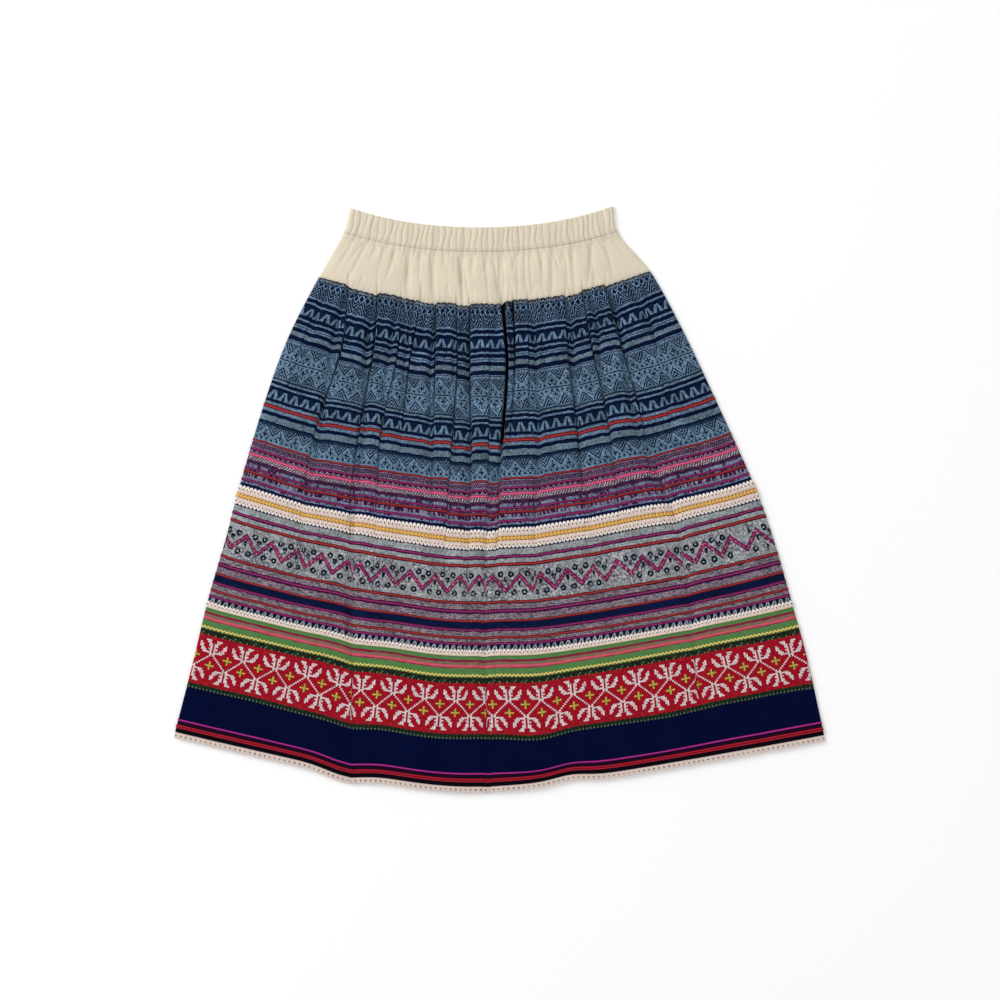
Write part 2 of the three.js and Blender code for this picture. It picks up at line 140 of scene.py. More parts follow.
# Rows of the laid skirt: down, left end x and y, lowest point x and y, right end x and y, bow.
GUIDES = np.array([
    (0, -185.4, 360.8, -24.2, 336.7, 141.4, 363.3, 2.3),
    (28.5, -193.4, 331.1, -24.2, 307.5, 146.3, 332.3, 2.3),
    (94.5, -224.4, 275.3, -19.2, 240.6, 187.2, 282.7, 2.2),
    (178.9, -262.9, 199.6, -16.7, 156.2, 228.2, 208.3, 1.8),
    (266.4, -292.6, 117.8, -14.3, 67, 267.2, 125.9, 1.4),
    (387.1, -325.9, 5.6, -18, -52.5, 318.7, 11.2, 1.0),
    (443, -339.5, -47.1, -21.7, -107.3, 338.5, -44, 1.0),
    (530.5, -363.3, -129.6, -24.2, -191.6, 363.3, -129.6, 1.0),
    (600, -379.4, -197.2, -24.2, -261, 382.2, -198.4, 1.0),
    (703.1, -404.9, -296.4, -36.6, -364.6, 404.9, -300.7, 1.0),
])

# Where the hem drops or lifts out of its curve: share across, drop, reach, top.
HEM_WAVES = ((0.262, 7.5, 0.04, 387.1), (0.61, -5, 0.035, 530.5))

# Height of the front's ridges: down, ridge.
LOFT = np.array([
    (0, 5.4),
    (28.5, 6.4),
    (60, 9.5),
    (94.5, 10),
    (118, 13.5),
    (200, 13.5),
    (266.4, 12.5),
    (387.1, 9.5),
    (530.5, 7.6),
    (703.1, 6.2),
])

# Valleys between folds: shares at the stations, depths at the stations, half-width at the top.
YOKE_STATIONS = (28.5, 61, 94.5)
YOKE_FOLDS = (
    ((0.04, 0.036, 0.032), (2.0, 2.2, 0.6), 5),
    ((0.09, 0.083, 0.077), (2.2, 1.8, 0.6), 5),
    ((0.15, 0.158, 0.166), (1.8, 0.8, 0.3), 4),
    ((0.235, 0.253, 0.27), (2.2, 2.6, 1.4), 6),
    ((0.329, 0.338, 0.347), (2.4, 2.8, 1.8), 5),
    ((0.425, 0.43, 0.435), (2.8, 4.4, 1.6), 5),
    ((0.52, 0.515, 0.51), (2.2, 1.6, 0.4), 4),
    ((0.571, 0.557, 0.5435), (2.4, 3.0, 2.4), 5),
    ((0.633, 0.616, 0.6), (2.0, 1.6, 0.6), 4),
    ((0.68, 0.66, 0.64), (1.8, 1.2, 0.4), 4),
    ((0.761, 0.73, 0.7), (2.2, 2.6, 1.2), 6),
    ((0.83, 0.8, 0.77), (2.2, 2.4, 1.0), 6),
    ((0.9, 0.865, 0.83), (2.2, 2.0, 0.8), 5),
    ((0.95, 0.92, 0.89), (2.4, 2.0, 0.6), 5),
)
BODY_STATIONS = (94.5, 118, 266.4, 387.1, 530.5, 703.1)
BODY_FOLDS = (
    ((0.035, 0.04, 0.06, 0.065, 0.07, 0.07), (1, 3.5, 0, 0, 0, 0), 6),
    ((0.089, 0.095, 0.13, 0.131, 0.14, 0.14), (2.5, 7, 5, 1, 0, 0), 7),
    ((0.176, 0.18, 0.223, 0.224, 0.248, 0.271), (3, 8, 6, 4, 3, 2.2), 7),
    ((0.245, 0.247, 0.26, 0.268, 0.3, 0.32), (2, 6, 3, 0.4, 0, 0), 6),
    ((0.29, 0.291, 0.302, 0.31, 0.34, 0.36), (2, 5, 1.6, 0, 0, 0), 6),
    ((0.354, 0.356, 0.371, 0.375, 0.385, 0.395), (3, 7, 3.5, 0.6, 0, 0), 6),
    ((0.415, 0.416, 0.424, 0.415, 0.42, 0.42), (1.5, 4.5, 2, 0, 0, 0), 5),
    ((0.456, 0.456, 0.457, 0.444, 0.442, 0.445), (2.5, 7, 5, 2.5, 0.8, 0), 6),
    ((0.563, 0.56, 0.524, 0.48, 0.474, 0.484), (2.4, 2.6, 2.6, 3, 3.2, 2.3), 5),
    ((0.643, 0.64, 0.61, 0.572, 0.565, 0.565), (1.5, 4, 5, 2, 0, 0), 6),
    ((0.747, 0.742, 0.698, 0.68, 0.67, 0.66), (3, 7, 4, 1, 0, 0), 7),
    ((0.818, 0.812, 0.762, 0.745, 0.74, 0.73), (2.5, 6.5, 3, 0.4, 0, 0), 6),
    ((0.872, 0.868, 0.825, 0.838, 0.825, 0.81), (3, 8, 6.5, 5, 2.4, 0.8), 7),
    ((0.934, 0.933, 0.93, 0.93, 0.92, 0.92), (1, 4, 1, 0, 0, 0), 6),
)

# Finer creases: share and distance down of both ends, depth, half-width.
YOKE_CREASES = (
    (0.12, 30, 0.135, 52, 1.2, 3),
    (0.19, 29, 0.21, 60, 1.3, 3),
    (0.28, 29, 0.295, 48, 1.1, 3),
    (0.37, 29, 0.38, 58, 1.2, 3),
    (0.39, 70, 0.392, 94, 1.0, 3),
    (0.47, 29, 0.47, 66, 1.3, 3),
    (0.545, 29, 0.535, 54, 1.1, 2.5),
    (0.59, 60, 0.575, 94, 1.2, 3),
    (0.72, 29, 0.7, 62, 1.3, 3),
    (0.79, 29, 0.765, 70, 1.2, 3),
    (0.865, 30, 0.84, 58, 1.1, 3),
    (0.12, 74, 0.115, 94, 0.9, 3),
    (0.3, 70, 0.31, 94, 0.9, 3),
    (0.46, 74, 0.47, 94, 0.9, 3),
    (0.66, 72, 0.65, 94, 0.9, 3),
    (0.86, 70, 0.84, 94, 0.9, 3),
)

# Sharp creases of the yoke: x at the top and at the bottom, distances down of both ends, depth, width.
YOKE_CORES = (
    (-180, -212, 30, 66, 1.8, 2.2),
    (-167, -190, 30, 70, 1.6, 2.0),
    (-150, -163, 29, 60, 1.4, 2.0),
    (-128, -143, 30, 78, 1.8, 2.6),
    (-113, -117, 29, 92, 1.9, 2.4),
    (-97, -99, 29, 74, 1.4, 2.0),
    (-82, -85, 30, 94, 2.4, 2.4),
    (-47, -46, 29, 72, 3.6, 1.8),
    (-44, -36, 52, 92, 2.0, 2.4),
    (-17, -19, 29, 60, 2.0, 1.8),
    (-7, -2, 30, 92, 1.8, 2.2),
    (3, 6, 34, 94, 2.2, 3.2),
    (19, 18, 30, 56, 1.4, 2.0),
    (31, 35, 29, 90, 1.9, 2.4),
    (53, 52, 29, 80, 1.9, 2.4),
    (64, 74, 28, 62, 2.0, 1.8),
    (79, 88, 30, 94, 1.8, 2.6),
    (91, 93, 28, 60, 1.8, 2.0),
    (115, 108, 30, 92, 2.2, 2.4),
    (124, 140, 32, 66, 1.4, 2.0),
    (135, 160, 30, 70, 1.9, 2.2),
    (143, 172, 32, 74, 1.6, 2.2),
)
BODY_CREASES = (
    (0.062, 96, 0.082, 165, 1.8, 4),
    (0.125, 96, 0.155, 195, 2.2, 4),
    (0.150, 96, 0.188, 150, 1.6, 3),
    (0.212, 96, 0.238, 205, 2.0, 4),
    (0.268, 96, 0.274, 150, 1.6, 3),
    (0.322, 96, 0.332, 215, 2.0, 4),
    (0.385, 96, 0.397, 185, 2.0, 3.5),
    (0.436, 96, 0.440, 140, 1.6, 3),
    (0.484, 96, 0.478, 205, 2.2, 4),
    (0.512, 96, 0.502, 150, 1.7, 3),
    (0.538, 96, 0.520, 170, 1.8, 3.5),
    (0.588, 96, 0.562, 195, 4.2, 3),
    (0.615, 96, 0.600, 150, 1.5, 3),
    (0.672, 96, 0.648, 210, 2.2, 4),
    (0.700, 96, 0.680, 160, 1.6, 3),
    (0.722, 96, 0.705, 140, 1.5, 3),
    (0.780, 96, 0.745, 190, 2.0, 4),
    (0.845, 96, 0.808, 210, 2.2, 4),
    (0.900, 96, 0.880, 180, 2.0, 4),
    (0.915, 96, 0.925, 150, 1.5, 3),
    (0.965, 96, 0.962, 170, 1.4, 4),
    (0.33, 300, 0.318, 470, 1.0, 10),
    (0.40, 330, 0.42, 640, 1.1, 13),
    (0.60, 430, 0.587, 703, 1.6, 15),
    (0.70, 400, 0.69, 640, 0.9, 13),
    (0.12, 360, 0.15, 620, 0.9, 13),
    (0.90, 380, 0.895, 640, 0.9, 11),
    (0.35, 560, 0.352, 703, 1.0, 12),
    (0.75, 600, 0.745, 703, 0.8, 12),
    (0.16, 600, 0.165, 703, 0.8, 12),
    (0.268, 628, 0.272, 790, 2.8, 6),
    (0.484, 600, 0.484, 800, 2.4, 4),
    (0.905, 620, 0.9, 790, 1.4, 7),
    (0.06, 560, 0.055, 760, 1.4, 7),
)

# Where a fold hides cloth on a slant, the rows beside it no longer meet: how far across each such fold
# lies at the stations, in millimetres from the middle, how far the rows drop there from left to right,
# and how deep and how wide the fold's narrow core is.
STEP_STATIONS = (94.5, 170, 266, 350, 440)
FOLD_STEPS = (
    ((-214, -241, -270, -290, -300), (0.6, 1.5, 0.5, 0, 0), (1.0, 3.6, 0.8, 0, 0), 1.5),
    ((-187, -195, -224, -241, -250), (3.5, 9.0, 4.0, 1.0, 0), (2.0, 5.0, 2.6, 0.8, 0), 1.7),
    ((-151, -157, -174, -183, -186), (-3.5, -7.5, -5.5, -2.0, 0), (3.0, 6.0, 3.4, 1.8, 0.4), 1.8),
    ((-121, -127, -147, -152, -156), (1.5, 3.0, 4.0, 1.0, 0), (1.6, 3.4, 2.4, 0.9, 0), 1.4),
    ((-97, -111, -121, -127, -130), (2.0, 4.5, 1.0, 0, 0), (2.0, 4.4, 1.2, 0, 0), 1.5),
    ((-79, -80, -82, -84, -84), (-2.5, -4.0, -1.2, -0.5, 0), (2.0, 4.0, 1.6, 0.5, 0), 1.3),
    ((-53, -52, -59, -65, -68), (2.2, 4.8, 5.0, 2.4, 0), (2.0, 4.0, 2.6, 1.4, 0.3), 1.5),
    ((-37, -37, -35, -37, -37), (-2.5, -5.0, -4.0, -1.0, 0), (2.2, 4.6, 2.6, 0.9, 0.3), 1.4),
    ((-13, -12, -13, -15, -17), (0.5, 0.5, 3.5, 1.6, 0), (0.9, 1.6, 2.2, 1.0, 0.3), 1.3),
    ((4, 9.5, 3, -1, -4), (-3.0, -5.0, -8.0, -4.0, -0.4), (6.0, 12, 12, 9.0, 3.0), 3.1),
    ((17, 19, 13, 9, 7), (-1.0, -1.5, 0, 0, 0), (3.0, 5.0, 1.0, 0, 0), 1.4),
    ((36, 37, 36, 36, 36), (1.0, 1.8, 0.5, 0, 0), (1.6, 2.6, 0.8, 0, 0), 1.4),
    ((82, 86, 97, 104, 110), (2.0, 3.0, 1.5, 0.5, 0), (2.0, 3.8, 2.8, 1.2, 0.3), 1.6),
    ((103, 116, 136, 146, 152), (-3.5, -7.0, -3.0, -1.0, 0), (2.6, 4.6, 2.0, 0.7, 0), 1.5),
    ((132, 152, 177, 189, 198), (2.5, 7.5, 3.0, 1.0, 0), (2.2, 6.0, 3.4, 1.2, 0.3), 1.8),
    ((174, 191, 209, 220, 226), (-1.0, -1.5, -1.0, 0, 0), (1.2, 2.0, 1.2, 0, 0), 1.4),
)
# How far across a row's step at such a fold reaches.
STEP_REACH = 1.4
# The middle tuck: its row in the table, where it ends, and how much of its depth is gone there.
TUCK = 9
TUCK_END = (256, 270)
TUCK_CLOSED = 0.75
# The rounded lips beside a core: their place and width beside the core's, their height and how far they
# lean over it, both beside the core's depth.
LIP_PLACE = 1.3
LIP_WIDTH = 0.55
LIP_RISE = 0.24
LIP_PINCH = 0.15
# How far the rows at the yoke's seam are drawn up, and how far from it.
SEAM_LIFT = 4.0
SEAM_LIFT_REACH = 9

# Where the rows' settling starts and ends, and how far they sag for each millimetre of a fold's depth.
SETTLE_START = (55, YOKE_END)
SETTLE_END = (560, 690)
VALLEY_DROP = 0.3

# How far the front's rows sag below their smooth line between the folds, by distance down the cloth
# and by distance from the middle, in millimetres.
SAG_PLACES = (-316, -241, -167, -92, -18, 56, 131, 205, 280, 354)
SAG_DOWNS = (96, 180, 260, 354, 428, 503, 577, 640, 700)
SAG = np.array([
    (0, 0, 0, 0, 0, 0, 0, 0, 0, 0),
    (0, 0, -0.5, -1, -2, -1.5, -1.5, 0, 0, 0),
    (0, 1.2, -1.5, -2.5, -4.5, -3.5, -3.5, 1, 3, 3),
    (0, 4.5, 1.5, -2, -3, -1.5, 0, 1.5, 3, 0),
    (3.5, 4, 2, 1, -3, 0, 1, 3.5, 1.5, -2),
    (2.5, 3.5, 0.5, -0.5, -2.5, 1, 2.5, 3.5, 2.5, 1),
    (1.5, 2, 0, 2, -1, 3.5, 2, 1.5, 1, 1.5),
    (0, 2.5, 0.5, 2, -0.5, 6.5, 1, 2.5, -1, -1.5),
    (0, 0, 0, 0, 0, 0, 0, 0, 0, 0),
])

# Gathers across the casing and across the yoke's seam, and how high the casing's ridges stand.
CASING_GATHERS = 46
GATHER_RIDGE = 1.8
SEAM_GATHERS = 57

# Trims: where each starts and ends down the cloth.
RED_RIBBON = (264.1, 268.7)
UPPER_BRAID = (375.4, 384.4)
GOLD_BRAID = (384.4, 389.8)
LOWER_BRAID = (389.8, 397.4)
PICOT_BRAID = (526.3, 534.9)
PICOT_LOOPS = (528.2, 534.9)
RIC_RAC = (557.5, 559.9)
MAGENTA_CORD = (678.6, 680.7)
RED_CORD = (685.6, 690.2)

# The back's trims lie flush in their cloth: which spans make room for them, how thick they are, how far
# beside a trim the room starts and is full, and how far the trim stops short of the side edges.
FLUSH_SPANS = (RED_RIBBON, (UPPER_BRAID[0], LOWER_BRAID[1]), PICOT_BRAID)
FLUSH_THICKNESS = 0.6
FLUSH_START = 0.8
FLUSH_FULL = 0.2
FLUSH_CLEARANCE = 0.25
BACK_INSET = 7.0

# Thin ribbons sewn on the patterned cloth: start, end, and which colour.
THIN_RIBBONS = (
    (311.5, 314.2, "red"),
    (322.6, 325.8, "magenta"),
    (330.2, 333.6, "pink"),
    (348.1, 351.0, "magenta"),
    (352.7, 356.2, "red"),
    (363.9, 367.2, "magenta"),
    (407.6, 411.4, "magenta"),
    (417.2, 421.2, "red"),
    (465.0, 468.6, "red"),
    (476.0, 480.0, "magenta"),
    (489.0, 492.2, "red"),
    (500.5, 504.0, "magenta"),
    (510.3, 513.7, "red"),
    (518.1, 521.5, "magenta"),
)

# One repeat of the cross-stitched band, a letter for each stitch: R red, W white, Y yellow,
# g green outline, K near black, G dark green, L light green, N navy.
STITCH_CHART = (
    "KGKKGKGKKKGKGKKGKK",
    "GKLKGKKGKGKKGKLKGK",
    "KLKGKLKGKLKGKLKGKL",
    "RRRRRRRRRRRRRRRRRR",
    "RRRRRRRRRRRRRRRRRR",
    "RRRRRWWWRRRWWWRRRR",
    "RRRRRRWWRRRWWRRRRR",
    "RRWRRRRWWRWWRRRRWR",
    "RRWWRRRWWRWWRRRWWR",
    "RRWWRRRRWRWRRRRWWR",
    "RRRWWRRWWRWWRRWWRR",
    "RRRWWWRRWRWRRWWWRR",
    "RRRRWWWWWRWWWWWRRR",
    "YRRRRRRRWWWRRRRRRR",
    "YgRRRRRRWRWRRRRRRg",
    "YYYRRRRWRRRWRRRRYY",
    "YgRRRRWRRRRRWRRRRg",
    "YRRRRWRRRRRRRWRRRR",
    "RRRRWRRRRYRRRRWRRR",
    "RRRWRRRRgYgRRRRWRR",
    "RRWRRRRYYYYYRRRRWR",
    "RWRRRRRRgYgRRRRRRW",
    "WWRRRRRRRYRRRRRRRW",
    "RWWWWWRRRRRRRWWWWW",
    "RWRRWWWRRRRRWWWRRW",
    "RWWRRWWRRRRRWWRRWW",
    "RWRRRRWWRRRWWRRRRW",
    "RWWRRRWWRRRWWRRRWW",
    "RWWRRRRWRRRWRRRRWW",
    "RRWWRRRRRRRRRRRWWR",
    "RRWWWRRRRRRRRRWWWR",
    "RRRRRRRRRRRRRRRRRR",
    "RRRRRRRRRRRRRRRRRR",
    "GGKGKGGKGKGGKGKGGK",
    "KGKGKGKGKGKGKGKGKG",
    "NLNLNLNLNLNLNLNLNL",
)

# How often the chart repeats across a panel, the letters' order in the material, how high a stitch
# stands and how uneven they are.
STITCH_REPEATS = 20
STITCH_LETTERS = "RWYgKGLN"
STITCH_LIFT = 0.55
STITCH_UNEVEN = 0.12

# Running stitches on the casing and the yoke: length, gap between them, and half the thread's width.
RUNNING_LENGTH = 2.6
RUNNING_GAP = 1.0
THREAD_HALF = 0.28


def srgb(red, green, blue):
    """A colour given from 0 to 255 as a screen shows it, in linear light."""
    def linear(value):
        share = value / 255
        return share / 12.92 if share <= 0.04045 else ((share + 0.055) / 1.055) ** 2.4
    return tuple(linear(value) for value in (red, green, blue))


def colour_property(name, description, colour):
    """A colour that a user may change, with its default as a screen shows it."""
    return FloatVectorProperty(
        name=name, description=description, default=srgb(*colour), subtype="COLOR", size=3, min=0, max=1
    )


class SkirtColours(bpy.types.PropertyGroup):
    """Colours of the skirt's cloths and trims."""

    cream: colour_property("Cream cotton", "The waist casing and yoke", (236, 224, 201))
    indigo: colour_property("Indigo", "The dyed ground and lines of the patterned cloth", (0, 25, 70))
    indigo_mid: colour_property("Middle blue", "Half-dyed stripes", (34, 66, 98))
    teal: colour_property("Teal blue", "Dark marks where the dye is thinner", (8, 42, 74))
    waxed: colour_property("Waxed blue", "Lines and grounds that the wax kept pale", (138, 172, 206))
    waxed_grey: colour_property("Grey wax", "Wider pale stripes, which are greyer", (140, 166, 186))
    waxed_pale: colour_property("Pale ground", "The palest grounds, lower on the skirt", (190, 196, 200))
    navy: colour_property("Navy", "The plain band above the hem", (3, 10, 48))
    red: colour_property("Red", "Ribbons and cords", (134, 4, 26))
    magenta: colour_property("Magenta", "Magenta ribbons and the zigzag", (108, 2, 70))
    pink: colour_property("Pink", "The pink ribbon", (222, 62, 120))
    braid: colour_property("Cream braid", "Scalloped braids and the hem's lace", (236, 217, 207))
    gold: colour_property("Gold braid", "The chain braid", (240, 186, 96))
    green: colour_property("Green", "The green woven strip", (88, 138, 78))
    yellow: colour_property("Yellow", "The ric-rac", (242, 216, 124))
    floor: colour_property("Floor", "The surface that the skirt lies on", (250, 250, 250))


class SkirtSizes(bpy.types.PropertyGroup):
    """Sizes of the skirt's cloth and finer relief."""

    shell: FloatProperty(
        name="Cloth thickness", description="Thickness of the cloth shells", default=0.0009, min=0.0003,
        max=0.002, unit="LENGTH", precision=4,
    )
    seam_puckers: FloatProperty(
        name="Seam puckers", description="Depth of the small gathers below the yoke's seam",
        default=0.0022, min=0, max=0.004, unit="LENGTH", precision=4,
    )
    waist_puckers: FloatProperty(
        name="Waist puckers", description="Depth of the small gathers below the casing",
        default=0.0014, min=0, max=0.003, unit="LENGTH", precision=4,
    )
    columns: IntProperty(
        name="Columns", description="Points across the front panel's cloth", default=540, min=100, max=560
    )
    light: FloatProperty(
        name="Light", description="Strength of the large soft light", default=165.0, min=0, max=500,
        subtype="POWER",
    )


def clamp01(value):
    return np.clip(value, 0.0, 1.0)


def lerp(a, b, share):
    return a + (b - a) * share


def eased(share):
    """A share from 0 to 1 that starts and ends slowly."""
    return share * share * (3 - 2 * share)


def fade(value, start, end):
    """A smooth step from 0 at start to 1 at end."""
    return eased(clamp01((value - start) / (end - start)))


def swell(value, at, reach):
    """A smooth hump of 1 at a place, which dies away over a reach."""
    return np.exp(-(((value - at) / reach) ** 2))


def held(stations, at):
    """The stretch of stations that holds each value, and how far along it the value is."""
    stations = np.asarray(stations, float)
    at = np.clip(at, stations[0], stations[-1])
    i = np.clip(np.searchsorted(stations, at, side="right") - 1, 0, len(stations) - 2)
    return i, (at - stations[i]) / (stations[i + 1] - stations[i])


def smooth(stations, values, at):
    """A smooth curve through the values, each station's slope taken from its neighbours."""
    stations = np.asarray(stations, float)
    values = np.asarray(values, float)
    before = np.maximum(np.arange(len(values)) - 1, 0)
    after = np.minimum(np.arange(len(values)) + 1, len(values) - 1)
    slopes = (values[after] - values[before]) / (stations[after] - stations[before])
    i, t = held(stations, at)
    span = stations[i + 1] - stations[i]
    square = t * t
    cube = square * t
    return (
        (2 * cube - 3 * square + 1) * values[i]
        + (cube - 2 * square + t) * span * slopes[i]
        + (3 * square - 2 * cube) * values[i + 1]
        + (cube - square) * span * slopes[i + 1]
    )


def straight(stations, values, at):
    return np.interp(at, stations, values)


class Row:
    """The rows of the laid skirt at some distances down the cloth."""

    def __init__(self, down):
        self.down = np.asarray(down, float)
        keys = ("left_x", "left_y", "mid_x", "mid_y", "right_x", "right_y", "bow")
        for k, key in enumerate(keys):
            setattr(self, key, smooth(GUIDES[:, 0], GUIDES[:, k + 1], self.down))
        self.width = self.right_x - self.left_x

    def inward(self, share):
        return np.minimum(share, 1 - share) * self.width

    def puff(self, share):
        """How far the front has risen from its side edges, from 0 to 1."""
        return 1 - np.exp(-np.maximum(0, self.inward(share) - EDGE_STEP) / EDGE_RISE)

    def rise(self, away):
        return (away * away + ROUND_MIDDLE**2) ** (self.bow / 2) - ROUND_MIDDLE**self.bow

    def plan(self, share):
        """Where a share of the row lies, seen from above."""
        x = lerp(self.left_x, self.right_x, share)
        on_left = x < self.mid_x
        end_x = np.where(on_left, self.left_x, self.right_x)
        end_y = np.where(on_left, self.left_y, self.right_y)
        away = clamp01(np.abs(x - self.mid_x) / np.abs(end_x - self.mid_x))
        y = lerp(self.mid_y, end_y, self.rise(away) / self.rise(1.0))
        for at, drop, reach, top in HEM_WAVES:
            ramp = clamp01((self.down - top) / (LACE_END - top))
            y = y - drop * ramp * swell(share, at, reach)
        return x, y


def rolled(inward):
    """The round profile of a side edge, from 0 at the edge to 1 where the roll ends."""
    left = 1 - clamp01(inward / EDGE_ROLL)
    return np.sqrt(1 - left * left)


def fold_depth(folds, stations, row, share):
    """Depth of the valleys between the large folds: each has a soft flank and a narrower crease."""
    widening = 1 + np.maximum(0, row.down - YOKE_END) * FOLD_WIDENING
    depth = 0.0
    for shares, depths, width in folds:
        away = np.abs(share - smooth(stations, shares, row.down)) * row.width
        away = away / (width * widening)
        falloff = SOFT_SHARE * np.exp(-(away**FOLD_SHARPNESS))
        falloff = falloff + (1 - SOFT_SHARE) * swell(away, 0, CREASE_SHARE)
        depth = depth + straight(stations, depths, row.down) * falloff
    return depth


def yoke_cores(row, share):
    """Sharp creases that run down the yoke from the casing."""
    x = lerp(row.left_x, row.right_x, share)
    depth = 0.0
    for top, bottom, start, end, deep, width in YOKE_CORES:
        along = (row.down - start) / (end - start)
        bend = 1.2 * np.sin(3 * along + 0.1 * top)
        away = (x - lerp(top, bottom, along) - bend) / width
        reach = fade(along, -0.1, 0.12) * (1 - fade(along, 0.55, 1.05))
        depth = depth + deep * reach * np.exp(-np.abs(away) ** 1.5)
    return depth


def crease_depth(creases, row, share):
    """Soft troughs along straight lines, fading out at both ends."""
    depth = 0.0
    for share0, down0, share1, down1, deep, width in creases:
        along = (row.down - down0) / (down1 - down0)
        at = lerp(share0, share1, along) + 0.004 * np.sin(7 * along + 40 * share0)
        away = (share - at) * row.width / (width * (0.7 + 0.7 * clamp01(along)))
        reach = fade(along, -0.08, 0.12) * (1 - fade(along, 0.45, 1.05))
        depth = depth + deep * reach * np.exp(-(away**2))
    return depth


def gathers(share, count, seed):
    """Uneven small gathers across a row: 0 in the sharp valleys between them, 1 on their ridges."""
    turns = count * share + 0.42 * np.sin(2 * math.pi * (2.3 * share + seed))
    turns = turns + 0.28 * np.sin(2 * math.pi * (5.9 * share + 2 * seed))
    return np.abs(np.sin(math.pi * turns)) ** 0.7


def puckers(deep, away, reach, share, count, seed):
    """Depth of the gathers beside a seam, which dies away with the distance from the seam."""
    return deep * np.exp(-away / reach) * (1 - gathers(share, count, seed))


def drift(x, y, seed):
    """A slow unevenness from -1 to 1 that repeats nowhere on the skirt."""
    return (
        np.sin(x / 37 + 1.7 * seed + np.sin(y / 53 + seed))
        + np.sin(x / 61 - y / 71 + 2.9 * seed)
        + np.sin(y / 43 + np.sin(x / 83 - seed))
    ) / 3


def sag(down, x):
    """The rows' slow sag, from the table's values around each point."""
    i, t = held(SAG_DOWNS, down)
    j, s = held(SAG_PLACES, x)
    upper = lerp(SAG[i, j], SAG[i, j + 1], eased(s))
    lower = lerp(SAG[i + 1, j], SAG[i + 1, j + 1], eased(s))
    return lerp(upper, lower, eased(t))


def settle(down, share):
    """How far the front's rows hang below their smooth line, from fold to fold."""
    row = Row(down)
    x = lerp(row.left_x, row.right_x, share)
    drop = 0.0
    for places, steps, _, _ in FOLD_STEPS:
        place = smooth(STEP_STATIONS, places, row.down)
        step = straight(STEP_STATIONS, steps, row.down)
        drop = drop + step * (0.5 + 0.5 * np.tanh((x - place) / STEP_REACH) - share)
    on_body = Row(np.maximum(row.down, YOKE_END))
    drop = drop + VALLEY_DROP * fold_depth(BODY_FOLDS, BODY_STATIONS, on_body, share)
    drop = drop + puckers(1.3, np.abs(row.down - YOKE_END), 20, share, SEAM_GATHERS, 0.1)
    drop = drop * fade(row.down, *SETTLE_START) * (1 - fade(row.down, *SETTLE_END))
    lift = SEAM_LIFT * swell(row.down, YOKE_END, SEAM_LIFT_REACH)
    return (drop + sag(row.down, x) - lift) * row.puff(share)


def step_cores(row, x):
    """The folds' narrow cores: their depth, and how far their rounded lips lean in over them."""
    depth = 0.0
    lean = 0.0
    for number, (places, _, depths, width) in enumerate(FOLD_STEPS):
        away = (x - smooth(STEP_STATIONS, places, row.down)) / width
        deep = straight(STEP_STATIONS, depths, row.down)
        if number == TUCK:
            deep = deep * (1 - TUCK_CLOSED * fade(row.down, *TUCK_END))
        lip = swell(np.abs(away), LIP_PLACE, LIP_WIDTH)
        depth = depth + deep * (np.exp(-(np.abs(away) ** 3)) - LIP_RISE * lip)
        lean = lean - np.sign(away) * LIP_PINCH * deep * lip
    return depth, lean


def casing_turns(row, share):
    """How many of the casing's gathers lie before each share, between its rolled edges."""
    edge = EDGE_ROLL / row.width
    return (share - edge) / (1 - 2 * edge) * CASING_GATHERS


def from_valley(row, turns):
    """Distance to the nearest valley between the casing's gathers."""
    place = turns % 1
    return np.minimum(place, 1 - place) * row.width / CASING_GATHERS


def casing_height(row, share):
    """Height of the front casing's gathers, and how far up its ridge each point lies."""
    turns = casing_turns(row, share)
    turns = turns + 0.35 * np.sin(2.1 * math.pi * 3 * share + 1) + 0.12 * np.sin(row.down / 5 + 1.3 * turns)
    lean = 0.8 + 0.2 * np.sin(2.4 * np.floor(turns))
    rise = (1 - np.exp(-((from_valley(row, turns) / 1.05) ** 1.3))) * lean
    rise = rise * (0.75 + 0.25 * np.sin(math.pi * clamp01(row.down / CASING_END)))
    rise = rise * (1 - 0.35 * swell(row.down, CASING_SEAM, 1.2))
    rise = rise * fade(row.inward(share), 0, 4)
    flat = lerp(CASING_SIDE, CASING_BASE + CASING_WALL, rolled(row.inward(share)))
    return flat + GATHER_RIDGE * rise, rise


def seam_dip(row, dip):
    deep, reach = dip
    return deep * swell(row.down, YOKE_END, reach)


def yoke_depth(row, share, x, y, cores, sizes):
    """How far the front yoke lies below its ridges: folds, creases, gathers, and an uneven drape."""
    return (
        fold_depth(YOKE_FOLDS, YOKE_STATIONS, row, share)
        + crease_depth(YOKE_CREASES, row, share)
        + yoke_cores(row, share)
        + puckers(sizes.waist_puckers / MM, row.down - CASING_END, 15, share, CASING_GATHERS, 0.3)
        + puckers(0.45 * sizes.seam_puckers / MM, YOKE_END - row.down, 8, share, SEAM_GATHERS, 0.1)
        + seam_dip(row, YOKE_SEAM_DIP)
        + 0.6 * (1 + drift(1.8 * x, 1.8 * y, 4))
        + 0.7 * cores * fade(row.down, 66, YOKE_END)
    )


def body_depth(row, share, x, y, cores, sizes):
    """The same for the front's tiers below the yoke, whose gathers come in two sizes."""
    near = row.down - YOKE_END
    return (
        fold_depth(BODY_FOLDS, BODY_STATIONS, row, share)
        + crease_depth(BODY_CREASES, row, share)
        + puckers(sizes.seam_puckers / MM, near, 17, share, SEAM_GATHERS, 0.1)
        + puckers(0.8 * sizes.seam_puckers / MM, near, 60, share, SEAM_GATHERS / 2, 0.6)
        + seam_dip(row, BODY_SEAM_DIP)
        + 0.45 * (1 + drift(x, y, 2)) * fade(row.down, 96, 130)
        + cores
    )


